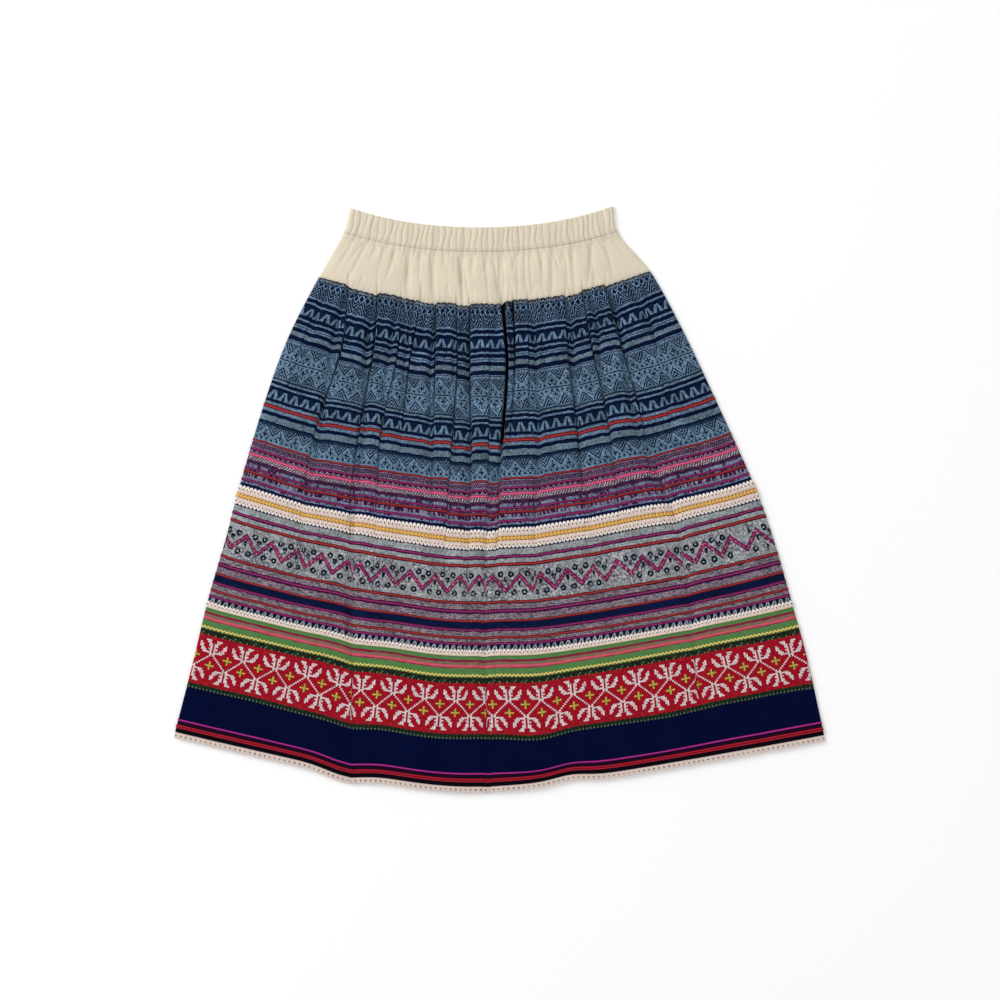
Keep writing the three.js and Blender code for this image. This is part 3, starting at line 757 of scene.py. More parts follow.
def front_point(cloth, down, share, sizes):
    """Points of the front cloth's upper face, in millimetres."""
    if cloth != "casing":
        down = down + settle(down, share)
    row = Row(down)
    x, y = row.plan(share)
    if cloth == "casing":
        z, rise = casing_height(row, share)
        return x, y + 0.7 * rise * (1 - clamp01(row.down / 8)), z
    puff = row.puff(share)
    cores, lean = step_cores(row, x)
    depth_of = yoke_depth if cloth == "yoke" else body_depth
    depth = depth_of(row, share, x, y, cores, sizes) * puff
    if cloth != "yoke":
        x = x + lean * puff * fade(row.down, YOKE_END, 104)
    seam = SIDE_SEAM + SEAM_GAP / 2
    edge = seam + (FLAT_HEIGHT - seam) * rolled(row.inward(share))
    ridge = straight(LOFT[:, 0], LOFT[:, 1], row.down)
    steep = 0.35 * (1 - row.down / LACE_END) * puff
    z = np.maximum(edge + steep, edge + (ridge - FLAT_HEIGHT) * puff - depth)
    if cloth == "yoke":
        casing = casing_height(Row(np.full_like(row.down, CASING_END)), share)[0]
        tucked = np.minimum(casing - TUCKED_UNDER, TUCKED_HEIGHT)
        z = lerp(tucked, z, fade(row.down, CASING_END, CASING_END + TUCKED_LENGTH))
    return x, y - RIDGE_LIFT * depth, z


def back_point(cloth, down, share, sizes):
    """Points of the back cloth's lower face, which rests on the surface, in millimetres."""
    row = Row(down)
    x, y = row.plan(share)
    inward = row.inward(share)
    lifted = 1 - rolled(inward)
    mirrored = 1 - share
    if cloth == "casing":
        below = CASING_WALL + (LAYER_GAP - SEAM_GAP) / 2
        valley = from_valley(row, casing_turns(row, share))
        groove = 1.1 * np.exp(-((valley / 1.15) ** 1.4)) * rolled(inward)
        return x, y, np.maximum(below * lifted, groove)
    if cloth == "yoke":
        depth = BACK_YOKE_FOLDS * fold_depth(YOKE_FOLDS, YOKE_STATIONS, row, mirrored)
        depth = depth + BACK_YOKE_CREASES * crease_depth(YOKE_CREASES, row, mirrored)
        depth = depth + puckers(0.5, row.down - CASING_END, 12, mirrored, CASING_GATHERS, 0.5)
    else:
        depth = BACK_BODY_FOLDS * fold_depth(BODY_FOLDS, BODY_STATIONS, row, mirrored)
        depth = depth + BACK_BODY_CREASES * crease_depth(BODY_CREASES, row, mirrored)
        depth = depth + puckers(0.5, row.down - YOKE_END, 22, mirrored, SEAM_GATHERS, 0.5)
        for start, end in FLUSH_SPANS:
            over = fade(row.down, start - FLUSH_START, start - FLUSH_FULL)
            over = over * (1 - fade(row.down, end + FLUSH_FULL, end + FLUSH_START))
            room = (FLUSH_THICKNESS + FLUSH_CLEARANCE) * over * fade(inward, 3.5, 5)
            depth = np.maximum(depth, room)
    depth = np.minimum(depth, BACK_DEPTH) * fade(inward, 0, 9)
    return x, y, np.maximum((SIDE_SEAM - SEAM_GAP / 2) * lifted, depth)


def surface(side, cloth, down, share, sizes):
    point = front_point if side == "front" else back_point
    return np.stack(np.broadcast_arrays(*point(cloth, down, share, sizes)), axis=-1)


def raised(side, cloth, down, share, height, sizes):
    """Points moved out of the cloth by a height, along its own direction there."""
    def at(down, share):
        return surface(side, cloth, down, share, sizes)

    beside = 0.0008
    below = 0.4
    across = at(down, share + beside) - at(down, share - beside)
    along = at(down - below, share) - at(down + below, share)
    out = np.cross(across, along)
    out = out / np.linalg.norm(out, axis=-1, keepdims=True)
    return at(down, share) + out * np.asarray(height)[..., None]


def fold_places(side, cloth, row):
    """Where a row's folds hide cloth, as shares, and how much each hides beside the others."""
    if cloth in ("yoke", "casing"):
        folds, stations = YOKE_FOLDS, YOKE_STATIONS
    else:
        folds, stations = BODY_FOLDS, BODY_STATIONS
    places = np.array([smooth(stations, shares, row.down) for shares, _, _ in folds])
    weights = np.array([straight(stations, depths, row.down) + 0.25 for _, depths, _ in folds])
    return (places if side == "front" else 1 - places), weights


def cloth_across(side, cloth, downs, sizes):
    """For each row, how far across its cut cloth each of many shares lies, from 0 to the cut width."""
    shares = np.linspace(0, 1, 1201)
    down = np.asarray(downs, float)[:, None]
    points = surface(side, cloth, down, shares[None, :], sizes)
    lengths = np.linalg.norm(np.diff(points, axis=1), axis=2)
    run = np.concatenate([np.zeros((len(downs), 1)), np.cumsum(lengths, axis=1)], axis=1)
    cut = YOKE_CUT if cloth in ("yoke", "casing") else BODY_CUT
    for r, value in enumerate(down[:, 0]):
        spare = cut - run[r, -1]
        if spare <= 0:
            run[r] *= cut / run[r, -1]
            continue
        row = Row(value)
        places, weights = fold_places(side, cloth, row)
        folded = FOLDED_SHARE * spare
        for place, weight in zip(places, weights):
            half = (1.3 + 10 * math.exp(-weight)) / row.width
            hidden = folded * weight / weights.sum()
            run[r] += hidden * fade(shares, place - half, place + half)
        run[r] += (spare - folded) * shares
    return shares, run


def share_steps(down, columns):
    """Shares across a row: close together at the rolled side edges, even between them."""
    row = Row(down)
    edge = np.array([0, 0.25, 0.7, 1.3, 2.1, EDGE_ROLL])[None, :] / row.width
    inner = np.linspace(0, 1, columns)[None, :]
    start = edge[:, -1:]
    middle = start + inner[:, 1:-1] * (1 - 2 * start)
    return np.concatenate([edge, middle, 1 - edge[:, ::-1]], axis=1)


# How far up the skirt's own frame lies from the model's frame, by the casing's right top corner.
SHIFT_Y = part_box("casing_front")[1].y / MM - GUIDES[0, 6]


def in_metres(points):
    moved = np.array(points, float).reshape(-1, 3)
    moved[:, 1] += SHIFT_Y
    return moved * MM


def new_mesh(name, points, faces, uvs=None, values=None):
    """A mesh object from points in millimetres, faces, the cloth's own coordinates and face values."""
    mesh = bpy.data.meshes.new(name)
    mesh.from_pydata(in_metres(points).tolist(), [], faces)
    mesh.update()
    corner = np.zeros(len(mesh.loops), np.int32)
    mesh.loops.foreach_get("vertex_index", corner)
    for layer, coordinates in (uvs or {}).items():
        uv = mesh.uv_layers.new(name=layer)
        uv.data.foreach_set("uv", np.asarray(coordinates, np.float32).reshape(-1, 2)[corner].ravel())
    if values is not None:
        attribute = mesh.attributes.new("stitch", "FLOAT", "FACE")
        attribute.data.foreach_set("value", np.asarray(values, np.float32))
    thing = bpy.data.objects.new(name, mesh)
    bpy.context.scene.collection.objects.link(thing)
    return thing


def grid_faces(rows, cols, under=False, keep=None):
    r, c = np.meshgrid(np.arange(rows - 1), np.arange(cols - 1), indexing="ij")
    first = r * cols + c
    faces = np.stack([first, first + cols, first + cols + 1, first + 1], axis=-1)
    if under:
        faces = faces[..., ::-1]
    faces = faces.reshape(-1, 4)
    if keep is not None:
        faces = faces[np.asarray(keep).reshape(-1)]
    return faces.tolist()


def only(thing):
    """Makes one object the selected and active one."""
    bpy.ops.object.select_all(action="DESELECT")
    thing.select_set(True)
    bpy.context.view_layer.objects.active = thing


def drop_loose(thing):
    """Removes the points that no face uses."""
    only(thing)
    bpy.ops.object.mode_set(mode="EDIT")
    bpy.ops.mesh.select_all(action="SELECT")
    bpy.ops.mesh.delete_loose()
    bpy.ops.object.mode_set(mode="OBJECT")


def thicken(thing, thickness):
    only(thing)
    wall = thing.modifiers.new("Wall", "SOLIDIFY")
    wall.thickness = thickness
    wall.offset = -1
    bpy.ops.object.modifier_apply(modifier=wall.name)


def finish(thing, material, nodes=()):
    """Gives a piece its material, smooth shading and its body, and hides the solids that it stands for."""
    thing.data.materials.clear()
    thing.data.materials.append(material)
    only(thing)
    bpy.ops.object.shade_smooth()
    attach(thing, BODY)
    if nodes:
        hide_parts(*nodes)


def cloth_coordinates(side, cloth, downs, shares, sizes):
    """The cut cloth's own coordinates in metres: across it, and down from the waist."""
    table, run = cloth_across(side, cloth, downs[:, 0], sizes)
    across = np.array([np.interp(s, table, u) for s, u in zip(shares, run)])
    if side == "back":
        across = across + (YOKE_CUT if cloth in ("yoke", "casing") else BODY_CUT)
    return np.stack([across, np.broadcast_to(downs, across.shape)], axis=-1) * MM


def panel_rows(start, end, count, extra=()):
    """Rows from seam to seam; on the long patterned cloth they are closer together near its gathers."""
    closeness = 1.35 if end - start > 200 else 1.0
    rows = start + (end - start) * np.linspace(0, 1, count) ** closeness
    return np.array(sorted({*rows.round(3), *[e for e in extra if start < e < end]}))


def sewn_panel(name, side, cloth, start, end, rows, columns, material, slot, sizes, extra=(), wall=None):
    """A panel from seam to seam as a thin shell with the cloth's coordinates, for its solid."""
    downs = panel_rows(start + SEAM_GAP / 2, end - SEAM_GAP / 2, rows, extra)
    down = np.asarray(downs, float)[:, None]
    shares = share_steps(down, columns)
    points = surface(side, cloth, down, shares, sizes)
    uv = cloth_coordinates(side, cloth, down, shares, sizes)
    faces = grid_faces(len(downs), shares.shape[1], under=side == "back")
    thing = new_mesh(name + "_" + side + "_cloth", points, faces, {"cloth": uv})
    thicken(thing, wall or sizes.shell)
    finish(thing, material, [name + "_" + side])


def declare_cuts():
    """Builds a list of the pieces on each side's hem, which nothing uses."""
    for side in ("front", "back"):
        front = side == "front"
        on_hem = ["lace_" + side + "_cloth"]
        if front:
            on_hem += ["magenta_cord_front_trim", "red_cord_front_trim"]


def shares_at(side, cloth, downs, across, sizes):
    """Shares where the cut cloth's coordinate across has the given values, for each row."""
    table, run = cloth_across(side, cloth, downs, sizes)
    return np.array([np.interp(across, u, table) for u in run])


def strip(name, side, span, repeats, outline, height, steps, sizes):
    """A trim sewn along a row. Its outline says how far its edges reach and its height how far it
    stands out, both from the phase along the trim; height also from the share across it."""
    start, end = span
    columns = repeats * outline["points"] + 1
    phase = np.linspace(0, repeats, columns)[None, :]
    inset = BACK_INSET if side == "back" else 0.0
    across = np.linspace(inset, BODY_CUT - inset, columns)
    share = shares_at(side, "body", [(start + end) / 2], across, sizes)
    t = np.linspace(0, 1, steps)[:, None]
    at_edge = (t == 0) | (t == 1)
    top, bottom = outline["edges"](phase)
    down = lerp(start - top, end + bottom, t)
    rise = height(phase, t)
    if side == "back":
        points = surface(side, "body", down, share, sizes)
        flush = np.maximum(0.0, FLUSH_THICKNESS * 0.9 - rise * 0.35)
        points[..., 2] = np.where(at_edge, FLUSH_THICKNESS, flush)
    else:
        lift = np.where(at_edge, 0.05, SEAM_GAP + rise)
        points = raised(side, "body", down, share + 0 * down, lift, sizes)
    along = np.stack(np.broadcast_arrays(phase, t), axis=-1)
    cloth = np.stack([across[None, :] + 0 * t, down], axis=-1) * MM
    faces = grid_faces(steps, columns, under=side == "back")
    return new_mesh(name, points, faces, {"cloth": cloth, "trim": along})


def adds(operation, reflected=False):
    """A method that adds one Math node to a shader value's net."""
    def method(wire, *others):
        values = (*others, wire) if reflected else (wire, *others)
        return wire.net.node("ShaderNodeMath", {"operation": operation}, *values)
    return method


class Wire:
    """A shader value that can be written in sums and comparisons."""

    def __init__(self, net, socket):
        self.net = net
        self.socket = socket

    __add__ = __radd__ = adds("ADD")
    __sub__ = adds("SUBTRACT")
    __rsub__ = adds("SUBTRACT", reflected=True)
    __mul__ = __rmul__ = adds("MULTIPLY")
    __truediv__ = adds("DIVIDE")
    __mod__ = adds("FLOORED_MODULO")
    __gt__ = adds("GREATER_THAN")
    __lt__ = adds("LESS_THAN")
    __abs__ = adds("ABSOLUTE")
    either = adds("MAXIMUM")
    sine = adds("SINE")
    root = adds("SQRT")


class Net:
    """A material's nodes, made from Python expressions."""

    def __init__(self, name, roughness=0.85, sheen=0.03, specular=0.06):
        self.material = bpy.data.materials.new(name)
        self.material.use_nodes = True
        self.tree = self.material.node_tree
        self.shader = self.tree.nodes["Principled BSDF"]
        self.shader.inputs["Roughness"].default_value = roughness
        self.shader.inputs["Sheen Weight"].default_value = sheen
        self.shader.inputs["Sheen Roughness"].default_value = 0.5
        self.shader.inputs["Specular IOR Level"].default_value = specular

    def node(self, kind, settings, *values, output=0, **named):
        """Adds a node: its settings first, then its sockets by place or by name."""
        made = self.tree.nodes.new(kind)
        for key, value in settings.items():
            if key == "stops":
                self.set_stops(made.color_ramp, value)
            else:
                setattr(made, key, value)
        for place, value in [*enumerate(values), *named.items()]:
            socket = made.inputs[place.replace("_", " ") if isinstance(place, str) else place]
            if isinstance(value, Wire):
                self.tree.links.new(value.socket, socket)
            elif value is not None:
                socket.default_value = value
        return Wire(self, made.outputs[output])

    def set_stops(self, ramp, stops):
        """A ramp's places first, because its stops change order when they move, and then its colours."""
        ramp.interpolation = "CONSTANT"
        while len(ramp.elements) < len(stops):
            ramp.elements.new(0.5)
        for element, (at, _) in zip(ramp.elements, stops):
            element.position = at
        for element, (_, colour) in zip(ramp.elements, stops):
            element.color = (*colour, 1.0)

    def bands(self, value, stops):
        """Colours in steps: each stop's colour holds up to the next stop."""
        return self.node("ShaderNodeValToRGB", {"stops": stops}, value)

    def coordinates(self, layer="cloth", scale=1 / MM):
        """The piece's own coordinates across and down, in millimetres."""
        uv = self.node("ShaderNodeUVMap", {"uv_map": layer})
        across = self.node("ShaderNodeSeparateXYZ", {}, uv, output=0)
        down = self.node("ShaderNodeSeparateXYZ", {}, uv, output=1)
        if scale == 1:
            return across, down
        return across * scale, down * scale

    def place(self, across, down, third=0.0):
        return self.node("ShaderNodeCombineXYZ", {}, across, down, third)

    def noise(self, place, size, detail=2.0, roughness=0.5):
        """Noise whose blotches are about size across, in the units of place."""
        return self.node(
            "ShaderNodeTexNoise", {}, Vector=place, Scale=1 / size, Detail=detail, Roughness=roughness
        )

    def mix(self, mask, below, above):
        """One colour laid over another where the mask is 1."""
        below, above = ((*ink, 1.0) if isinstance(ink, tuple) else ink for ink in (below, above))
        unused = [None] * 5
        return self.node("ShaderNodeMix", {"data_type": "RGBA"}, mask, *unused, below, above, output=2)

    def tint(self, colour, amount):
        """A colour made lighter or darker by an amount around 1."""
        return self.node(
            "ShaderNodeVectorMath", {"operation": "MULTIPLY"}, colour, self.place(amount, amount, amount)
        )

    def between(self, value, low, high):
        return (value > low) * (value < high)

    def dress(self, cloth, shade, roughness=None, relief=None, depth=0.0):
        """Feeds the shader: a colour and its shade, the roughness, and relief with a depth in metres."""
        feeds = {"Base Color": self.tint(cloth, shade), "Roughness": roughness}
        if relief is not None:
            feeds["Normal"] = self.node("ShaderNodeBump", {}, Strength=1.0, Distance=depth, Height=relief)
        for name, wire in feeds.items():
            if wire is not None:
                self.tree.links.new(wire.socket, self.shader.inputs[name])
        return self.material


def weave(across, down, pitch):
    """A plain weave: threads that pass over and under each other, from 0 to 1."""
    warp = (across * (math.pi / pitch)).sine()
    weft = (down * (math.pi / pitch)).sine()
    return abs(warp * weft)


def cream_cotton(colours):
    net = Net("cream_cotton", 0.9, 0.1, 0.1)
    across, down = net.coordinates()
    place = net.place(across, down)
    slub = net.noise(net.place(across * 0.25, down * 3.0), 2.2, 3.0)
    cloud = net.noise(place, 26.0, 3.0)
    # Painted shade: the cloth is darker along the seam at the casing's lower edge
    seam = net.between(down, CASING_END - 1.1, CASING_END + 1.0)
    flecks = net.noise(place, 1.3, 1.0) > 0.72
    shade = (0.9 + 0.14 * cloud + 0.14 * slub) * (1 - 0.1 * seam) * (1 - 0.16 * flecks)
    relief = 0.6 * weave(across, down, 0.85) + 0.8 * slub
    return net.dress(tuple(colours.cream), shade, 0.82 + 0.14 * slub, relief, 0.00035)


# Bands of the patterned cloth by where each starts down the cloth, in three runs, with the ground's ink:
# D dark, M middle blue, T teal blue, L waxed blue, G greyer wax, P pale ground, N navy, and the
# ribbons' red, magenta and pink as R, A and K.
UPPER_BANDS = (
    (90.0, "D"), (119.6, "L"), (122.6, "D"), (126.7, "L"), (129.8, "D"), (133.8, "L"), (145.6, "D"),
    (149.4, "L"), (153.0, "D"), (157.2, "L"), (162.7, "D"), (166.5, "G"), (173.4, "D"), (178.3, "L"),
    (204.6, "D"), (206.3, "L"), (228.7, "M"), (231.5, "G"), (234.4, "D"), (237.4, "L"), (240.8, "D"),
    (243.9, "L"), (256.6, "D"), (260.0, "L"), (263.6, "R"), (268.6, "L"), (273.0, "D"), (277.2, "G"),
    (284.8, "D"), (286.8, "M"),
)
MIDDLE_BANDS = (
    (286.8, "M"), (290.3, "L"), (311.2, "D"), (314.4, "L"), (322.6, "D"), (326.0, "D"), (330.2, "K"),
    (333.6, "L"), (338.8, "T"), (343.8, "L"), (348.2, "D"), (350.8, "L"), (352.6, "D"),
    (356.3, "L"), (363.8, "D"), (367.0, "L"), (369.8, "N"), (400.0, "P"), (407.2, "D"),
    (411.6, "P"), (417.0, "D"), (421.2, "P"),
)
LOWER_BANDS = (
    (417.0, "D"), (421.2, "P"), (464.9, "D"), (468.5, "P"), (475.2, "D"),
    (480.9, "P"), (489.0, "R"), (492.0, "N"), (500.4, "D"), (504.0, "P"), (510.2, "D"), (513.6, "P"),
    (517.6, "A"), (521.6, "P"), (527.3, "M"),
)
BATIK_BANDS = (UPPER_BANDS, MIDDLE_BANDS, LOWER_BANDS)
MIDDLE_START = 288.0
LOWER_START = 419.0


def band_colour(net, down, bands, colours):
    """The grounds of one run of bands. The dark dye bleeds a little into the pale bands beside it."""
    inks = {
        "D": colours.indigo, "M": colours.indigo_mid, "T": colours.teal, "L": colours.waxed,
        "G": colours.waxed_grey, "P": colours.waxed_pale, "N": srgb(10, 30, 76), "R": colours.red,
        "A": colours.magenta, "K": colours.pink,
    }
    bleed = 0.3
    first = bands[0][0]
    span = bands[-1][0] + 12 - first
    stops = []
    for k, (at, ink) in enumerate(bands):
        if ink == "D":
            at = at - bleed
        elif k and bands[k - 1][1] == "D":
            at = at + bleed
        stops.append((max(0.0, (at - first) / span), tuple(inks[ink])))
    return net.bands((down - first) / span, stops)


def indigo_batik(colours):
    """Wax-resist cloth: banded grounds, and rows of chevrons, dots, triangles and rings."""
    net = Net("indigo_batik", 0.85)
    across, down = net.coordinates()

    def blots(layer, size, detail=2.0, roughness=0.5):
        """Noise over the cloth, in its own layer."""
        return net.noise(net.place(across, down, layer), size, detail, roughness)

    fine = blots(63.0, 3.4, 1.0)
    v = down + 2.2 * (blots(0.0, 11.0) - 0.5) + 1.1 * (fine - 0.5)
    u = across + 2.4 * (blots(40.0, 11.0) - 0.5) + 1.1 * (fine - 0.5)

    upper, middle, lower = (band_colour(net, v, bands, colours) for bands in BATIK_BANDS)
    cloth = net.mix(v > MIDDLE_START, upper, middle)
    cloth = net.mix(v > LOWER_START, cloth, lower)

    dark = tuple(colours.indigo)
    teal = tuple(colours.teal)
    bright = srgb(140, 176, 208)
    ring_ink = srgb(4, 26, 50)

    def lay(mask, ink):
        nonlocal cloth
        cloth = net.mix(mask, cloth, ink)

    def rows(*spans):
        """Where any of the spans down the cloth lies."""
        start, end = spans[:2]
        here = net.between(v, start, end)
        return here.either(rows(*spans[2:])) if spans[2:] else here

    def from_middle(period, shift=0.0):
        """Distance across from the middle of the nearest repeat."""
        return abs((u + shift) % period - period / 2)

    def dot(q, at, radius):
        dv = v - at
        return (q * q + dv * dv) < radius * radius

    def ring(q, at, radius, thick, tall=1.0):
        dv = (v - at) * (1 / tall)
        return abs((q * q + dv * dv).root() - radius) < thick

    def cross(q, at, arm, thick):
        dv = abs(v - at)
        return ((q < arm) * (dv < thick)).either((q < thick) * (dv < arm))

    def nested(start, height, period, pitch, thick, end, upward=False, shift=0.0):
        """Zigzag rows whose points hang down, or stand up, with more rows nested inside them."""
        q = from_middle(period, shift)
        slope = height / (period / 2)
        inside = (v - start - slope * q) if upward else (start + height - slope * q - v)
        lines = ((inside % pitch) < thick) * (inside > 0)
        return lines * rows(start if upward else start - 0.4, end)

    def crosses(period, cross_at, dots_at, small_at, shift=0.0):
        """A cross with a dot above it between the points, and a row of dots beside the line."""
        q = period / 2 - from_middle(period, shift)
        star = cross(q, cross_at, 3.6, 0.85)
        beads = dot(from_middle(period / 3, shift), dots_at, 1.55)
        eyes = dot(abs(q - 5.4), (cross_at + dots_at) / 2, 1.1)
        return star.either(beads).either(dot(q, small_at, 1.15)).either(eyes)

    def triangles(start, end, period, shift=0.0):
        """Triangles that hang, and narrower ones that stand between them."""
        fallen = (v - start) / (end - start)
        q = abs((u + shift + 1.6 * fallen) % period - period / 2)
        hanging = q < 0.36 * period * (1.02 - fallen)
        standing = (period / 2 - q) < 0.17 * period * (fallen - 0.1)
        return hanging.either(standing) * rows(start, end)

    # Below the seam: short pale teeth, and pale stars over pale nested points on the dark ground
    teeth = from_middle(4.2) < (0.3 + 0.55 * (v - 94.8))
    lay(teeth * rows(94.8, 98.2), srgb(160, 182, 196))
    lay(((v - 1.15 * from_middle(20.0)) % 4.7 < 1.7) * rows(104.0, 119.4), bright)
    star_row = rows(98.8, 106.0)
    star_across = from_middle(9.0)
    star_down = abs(v - 102.4)
    lay((star_across < 3.7) * star_row, dark)
    lay((abs(star_across - star_down) < 1.15) * (star_down < 3.4) * star_row, bright)

    # Rows of triangles, and thin lines inside pale stripes
    lay(triangles(134.2, 145.4, 15.8), teal)
    lay(triangles(244.4, 256.2, 15.8, 5.0), teal)
    for at, thick in ((160.0, 0.45), (180.6, 0.5), (229.9, 0.4)):
        lay(abs(v - at) < thick, teal)

    # Two mirrored rows of points, with crosses and dots, and a single row further down
    period = 22.0
    lay(rows(183.2, 204.6, 206.3, 228.7, 290.4, 311.0), bright)
    lay(nested(183.6, 14.2, period, 4.7, 2.6, 197.8), dark)
    lay(nested(214.4, 14.2, period, 4.7, 2.6, 228.6, upward=True), dark)
    lay(nested(290.8, 12.6, period, 4.4, 2.3, 303.4, shift=7.0), dark)
    for cross_at, dots_at, small_at, shift, start, end in (
        (196.6, 201.8, 190.6, 0.0, 188.0, 204.0),
        (214.6, 209.6, 221.0, 0.0, 206.8, 223.5),
        (302.0, 307.6, 297.0, 7.0, 294.5, 310.0),
    ):
        lay(crosses(period, cross_at, dots_at, small_at, shift) * rows(start, end), dark)
    for at in (193.2, 219.0):
        lay(dot(abs(from_middle(period / 2) - 2.2), at, 0.95), teal)

    # Small rings, points and slanted marks between the ribbons
    lay(rows(314.6, 322.4), srgb(150, 158, 184))
    lay(ring(from_middle(6.0), 318.4, 1.75, 0.85) * rows(315.4, 321.8), dark)
    lay(dot(from_middle(6.0, 3.0), 316.2, 0.9).either(dot(from_middle(6.0, 3.0), 320.8, 0.9)), dark)
    lay(nested(325.9, 3.8, 7.6, 2.8, 1.4, 330.2, upward=True), srgb(196, 188, 206))
    lay(rows(333.6, 338.6), srgb(226, 226, 230))
    lay(((u + 0.8 * v) % 3.8 < 1.9) * rows(333.8, 338.6), dark)
    lay(rows(356.8, 361.6) * (((u + 0.4 * v) % 4.4) < 2.1), srgb(176, 178, 186))
    ticks = net.noise(net.place(u, 0.2 * v, 7.0), 2.6, 1.0) > 0.5
    lay(ticks * rows(350.9, 352.4, 356.7, 361.4), dark)
    broken = net.noise(net.place(u, 0.4 * v, 21.0), 4.0, 1.0) > 0.56
    lay(broken * rows(344.0, 348.0, 367.4, 369.6), teal)

    # The wide zigzag: a double magenta line, with rings and drops in its points
    period = 36.0
    peak = 433.4
    valley = 453.0
    off_valley = from_middle(period, 8.0)
    off_peak = period / 2 - off_valley
    line = abs(v - valley + off_valley * ((valley - peak) / (period / 2)))
    ground = rows(422.4, 464.4)
    kept = net.noise(net.place(across, 0.1 * down, 11.0), 26.0, 0.0) < 0.74
    free = ground * kept * (line > 4.2)
    beside_valley = (off_valley - 7.0, 432.0)
    beside_peak = (off_peak - 7.2, 455.2)
    rings = ring(*beside_valley, 2.5, 1.5).either(ring(*beside_peak, 2.5, 1.5))
    drops = ring(off_valley + 0.4 * (v - 439.0), 439.0, 1.6, 1.05, 1.6)
    drops = drops.either(ring(off_peak + 0.25 * (v - 443.4), 443.4, 1.0, 0.95, 2.3))
    lay(rings.either(drops) * free, ring_ink)
    lay(dot(*beside_valley, 1.15).either(dot(*beside_peak, 1.15)) * free * 0.8, srgb(196, 216, 226))
    for half, ink in ((3.9, (62, 14, 60)), (2.6, (184, 28, 116)), (0.6, (206, 104, 152))):
        lay((line < half) * ground, srgb(*ink))

    # Dye that ran along the cloth between the ribbons, and the last row of triangles
    streaks = net.noise(net.place(u * 0.3, v * 2.4), 2.4, 2.0)
    streaked = rows(469.0, 474.8, 481.2, 488.8, 504.2, 509.6, 514.2, 517.4)
    lay((streaks > 0.52) * streaked * 0.8, srgb(60, 38, 84))
    navy_row = rows(492.0, 500.2)
    washed = rows(314.4, 370.0, 469.0, 522.0) * (1 - navy_row)
    lay((streaks < 0.5) * washed * 0.42, srgb(176, 44, 104))
    lay(triangles(521.0, 529.4, 8.8, 1.0), dark)

    # Uneven dye: cloudy, grainy, bleeding at the lines' edges, and greener where it is thin
    grain = blots(0.0, 1.5)
    worn = blots(0.0, 4.0, 3.0, 0.7)
    spill = blots(77.0, 17.0)
    mottle = blots(51.0, 3.4, 2.0, 0.6)
    plain = rows(369.8, 400.2).either(navy_row)
    lay((worn > 0.66) * (1 - plain) * 0.3, bright)
    lay((spill > 0.64) * 0.2, teal)
    lay((mottle > 0.62) * ground * 0.5, srgb(226, 216, 192))
    lay((spill < 0.48) * (mottle < 0.5) * ground * 0.5, srgb(70, 54, 96))

    # Painted shade: the middle tuck is darker the deeper it lies, down to where the tuck ends
    spot = net.node("ShaderNodeTexCoord", {}, output=3)
    sideways = net.node("ShaderNodeSeparateXYZ", {}, spot, output=0) / MM
    height = net.node("ShaderNodeSeparateXYZ", {}, spot, output=2) / MM
    tuck_middle, tuck_reach, tuck_rim, tuck_end = 7.0, 15.0, 8.2, 262.0
    tuck_shade = (abs(sideways - tuck_middle) < tuck_reach) * (height > 3.0) * (down < tuck_end)
    lay(tuck_shade * ((tuck_rim - height) * 0.4), srgb(2, 5, 14))

    shade = (1 + 1.5 * (blots(0.0, 30.0, 4.0, 0.6) - 0.5)) * (1 + 2.2 * (grain - 0.5))
    shade = shade * (1 + 2.4 * (mottle - 0.5)) * (0.5 + 0.12 * (v > 310.0))
    return net.dress(cloth, shade, 0.74 + 0.2 * grain, 0.7 * weave(across, down, 0.7) + 0.6 * worn, 0.00025)


def green_woven(colours):
    """Green warp stripes with maroon, mixed and rose ones between them."""
    net = Net("green_woven", 0.85)
    across, down = net.coordinates()
    thread = net.noise(net.place(across * 0.2, down * 2.6), 2.4, 3.0)
    green = tuple(colours.green)
    maroon = srgb(140, 26, 66)
    mixed = srgb(134, 112, 92)
    rose = srgb(220, 92, 112)
    stripes = (
        (530.0, green), (539.4, maroon), (542.2, mixed), (545.6, rose), (548.9, maroon), (549.9, green),
    )
    first = stripes[0][0]
    span = 40.0
    v = down + 2.6 * (thread - 0.5)
    cloth = net.bands((v - first) / span, [((at - first) / span, ink) for at, ink in stripes])
    fleck = net.noise(net.place(across * 0.5, down * 4.0), 1.5, 2.0) > 0.62
    cloth = net.mix(fleck * 0.3, cloth, mixed)
    relief = 0.7 * weave(across, down, 0.75) + 0.4 * thread
    return net.dress(cloth, 0.5 + 0.95 * thread, 0.8 + 0.12 * thread, relief, 0.0003)


def navy_cotton(colours):
    """Plain navy, darker round the cords above the lace."""
    net = Net("navy_cotton", 0.9, 0.01, 0.03)
    across, down = net.coordinates()
    cloud = net.noise(net.place(across, down), 40.0, 3.0)
    thread = net.noise(net.place(across * 2.5, down * 0.4), 1.6, 2.0)
    cloth = net.mix(net.between(down, 681.0, 686.0), tuple(colours.navy), srgb(30, 10, 34))
    cloth = net.mix(down > 690.0, cloth, srgb(10, 8, 20))
    shade = 0.7 + 0.4 * cloud + 0.25 * thread
    relief = 0.6 * weave(across, down, 0.8) + 0.5 * thread
    return net.dress(cloth, shade, 0.74 + 0.16 * thread, relief, 0.00025)


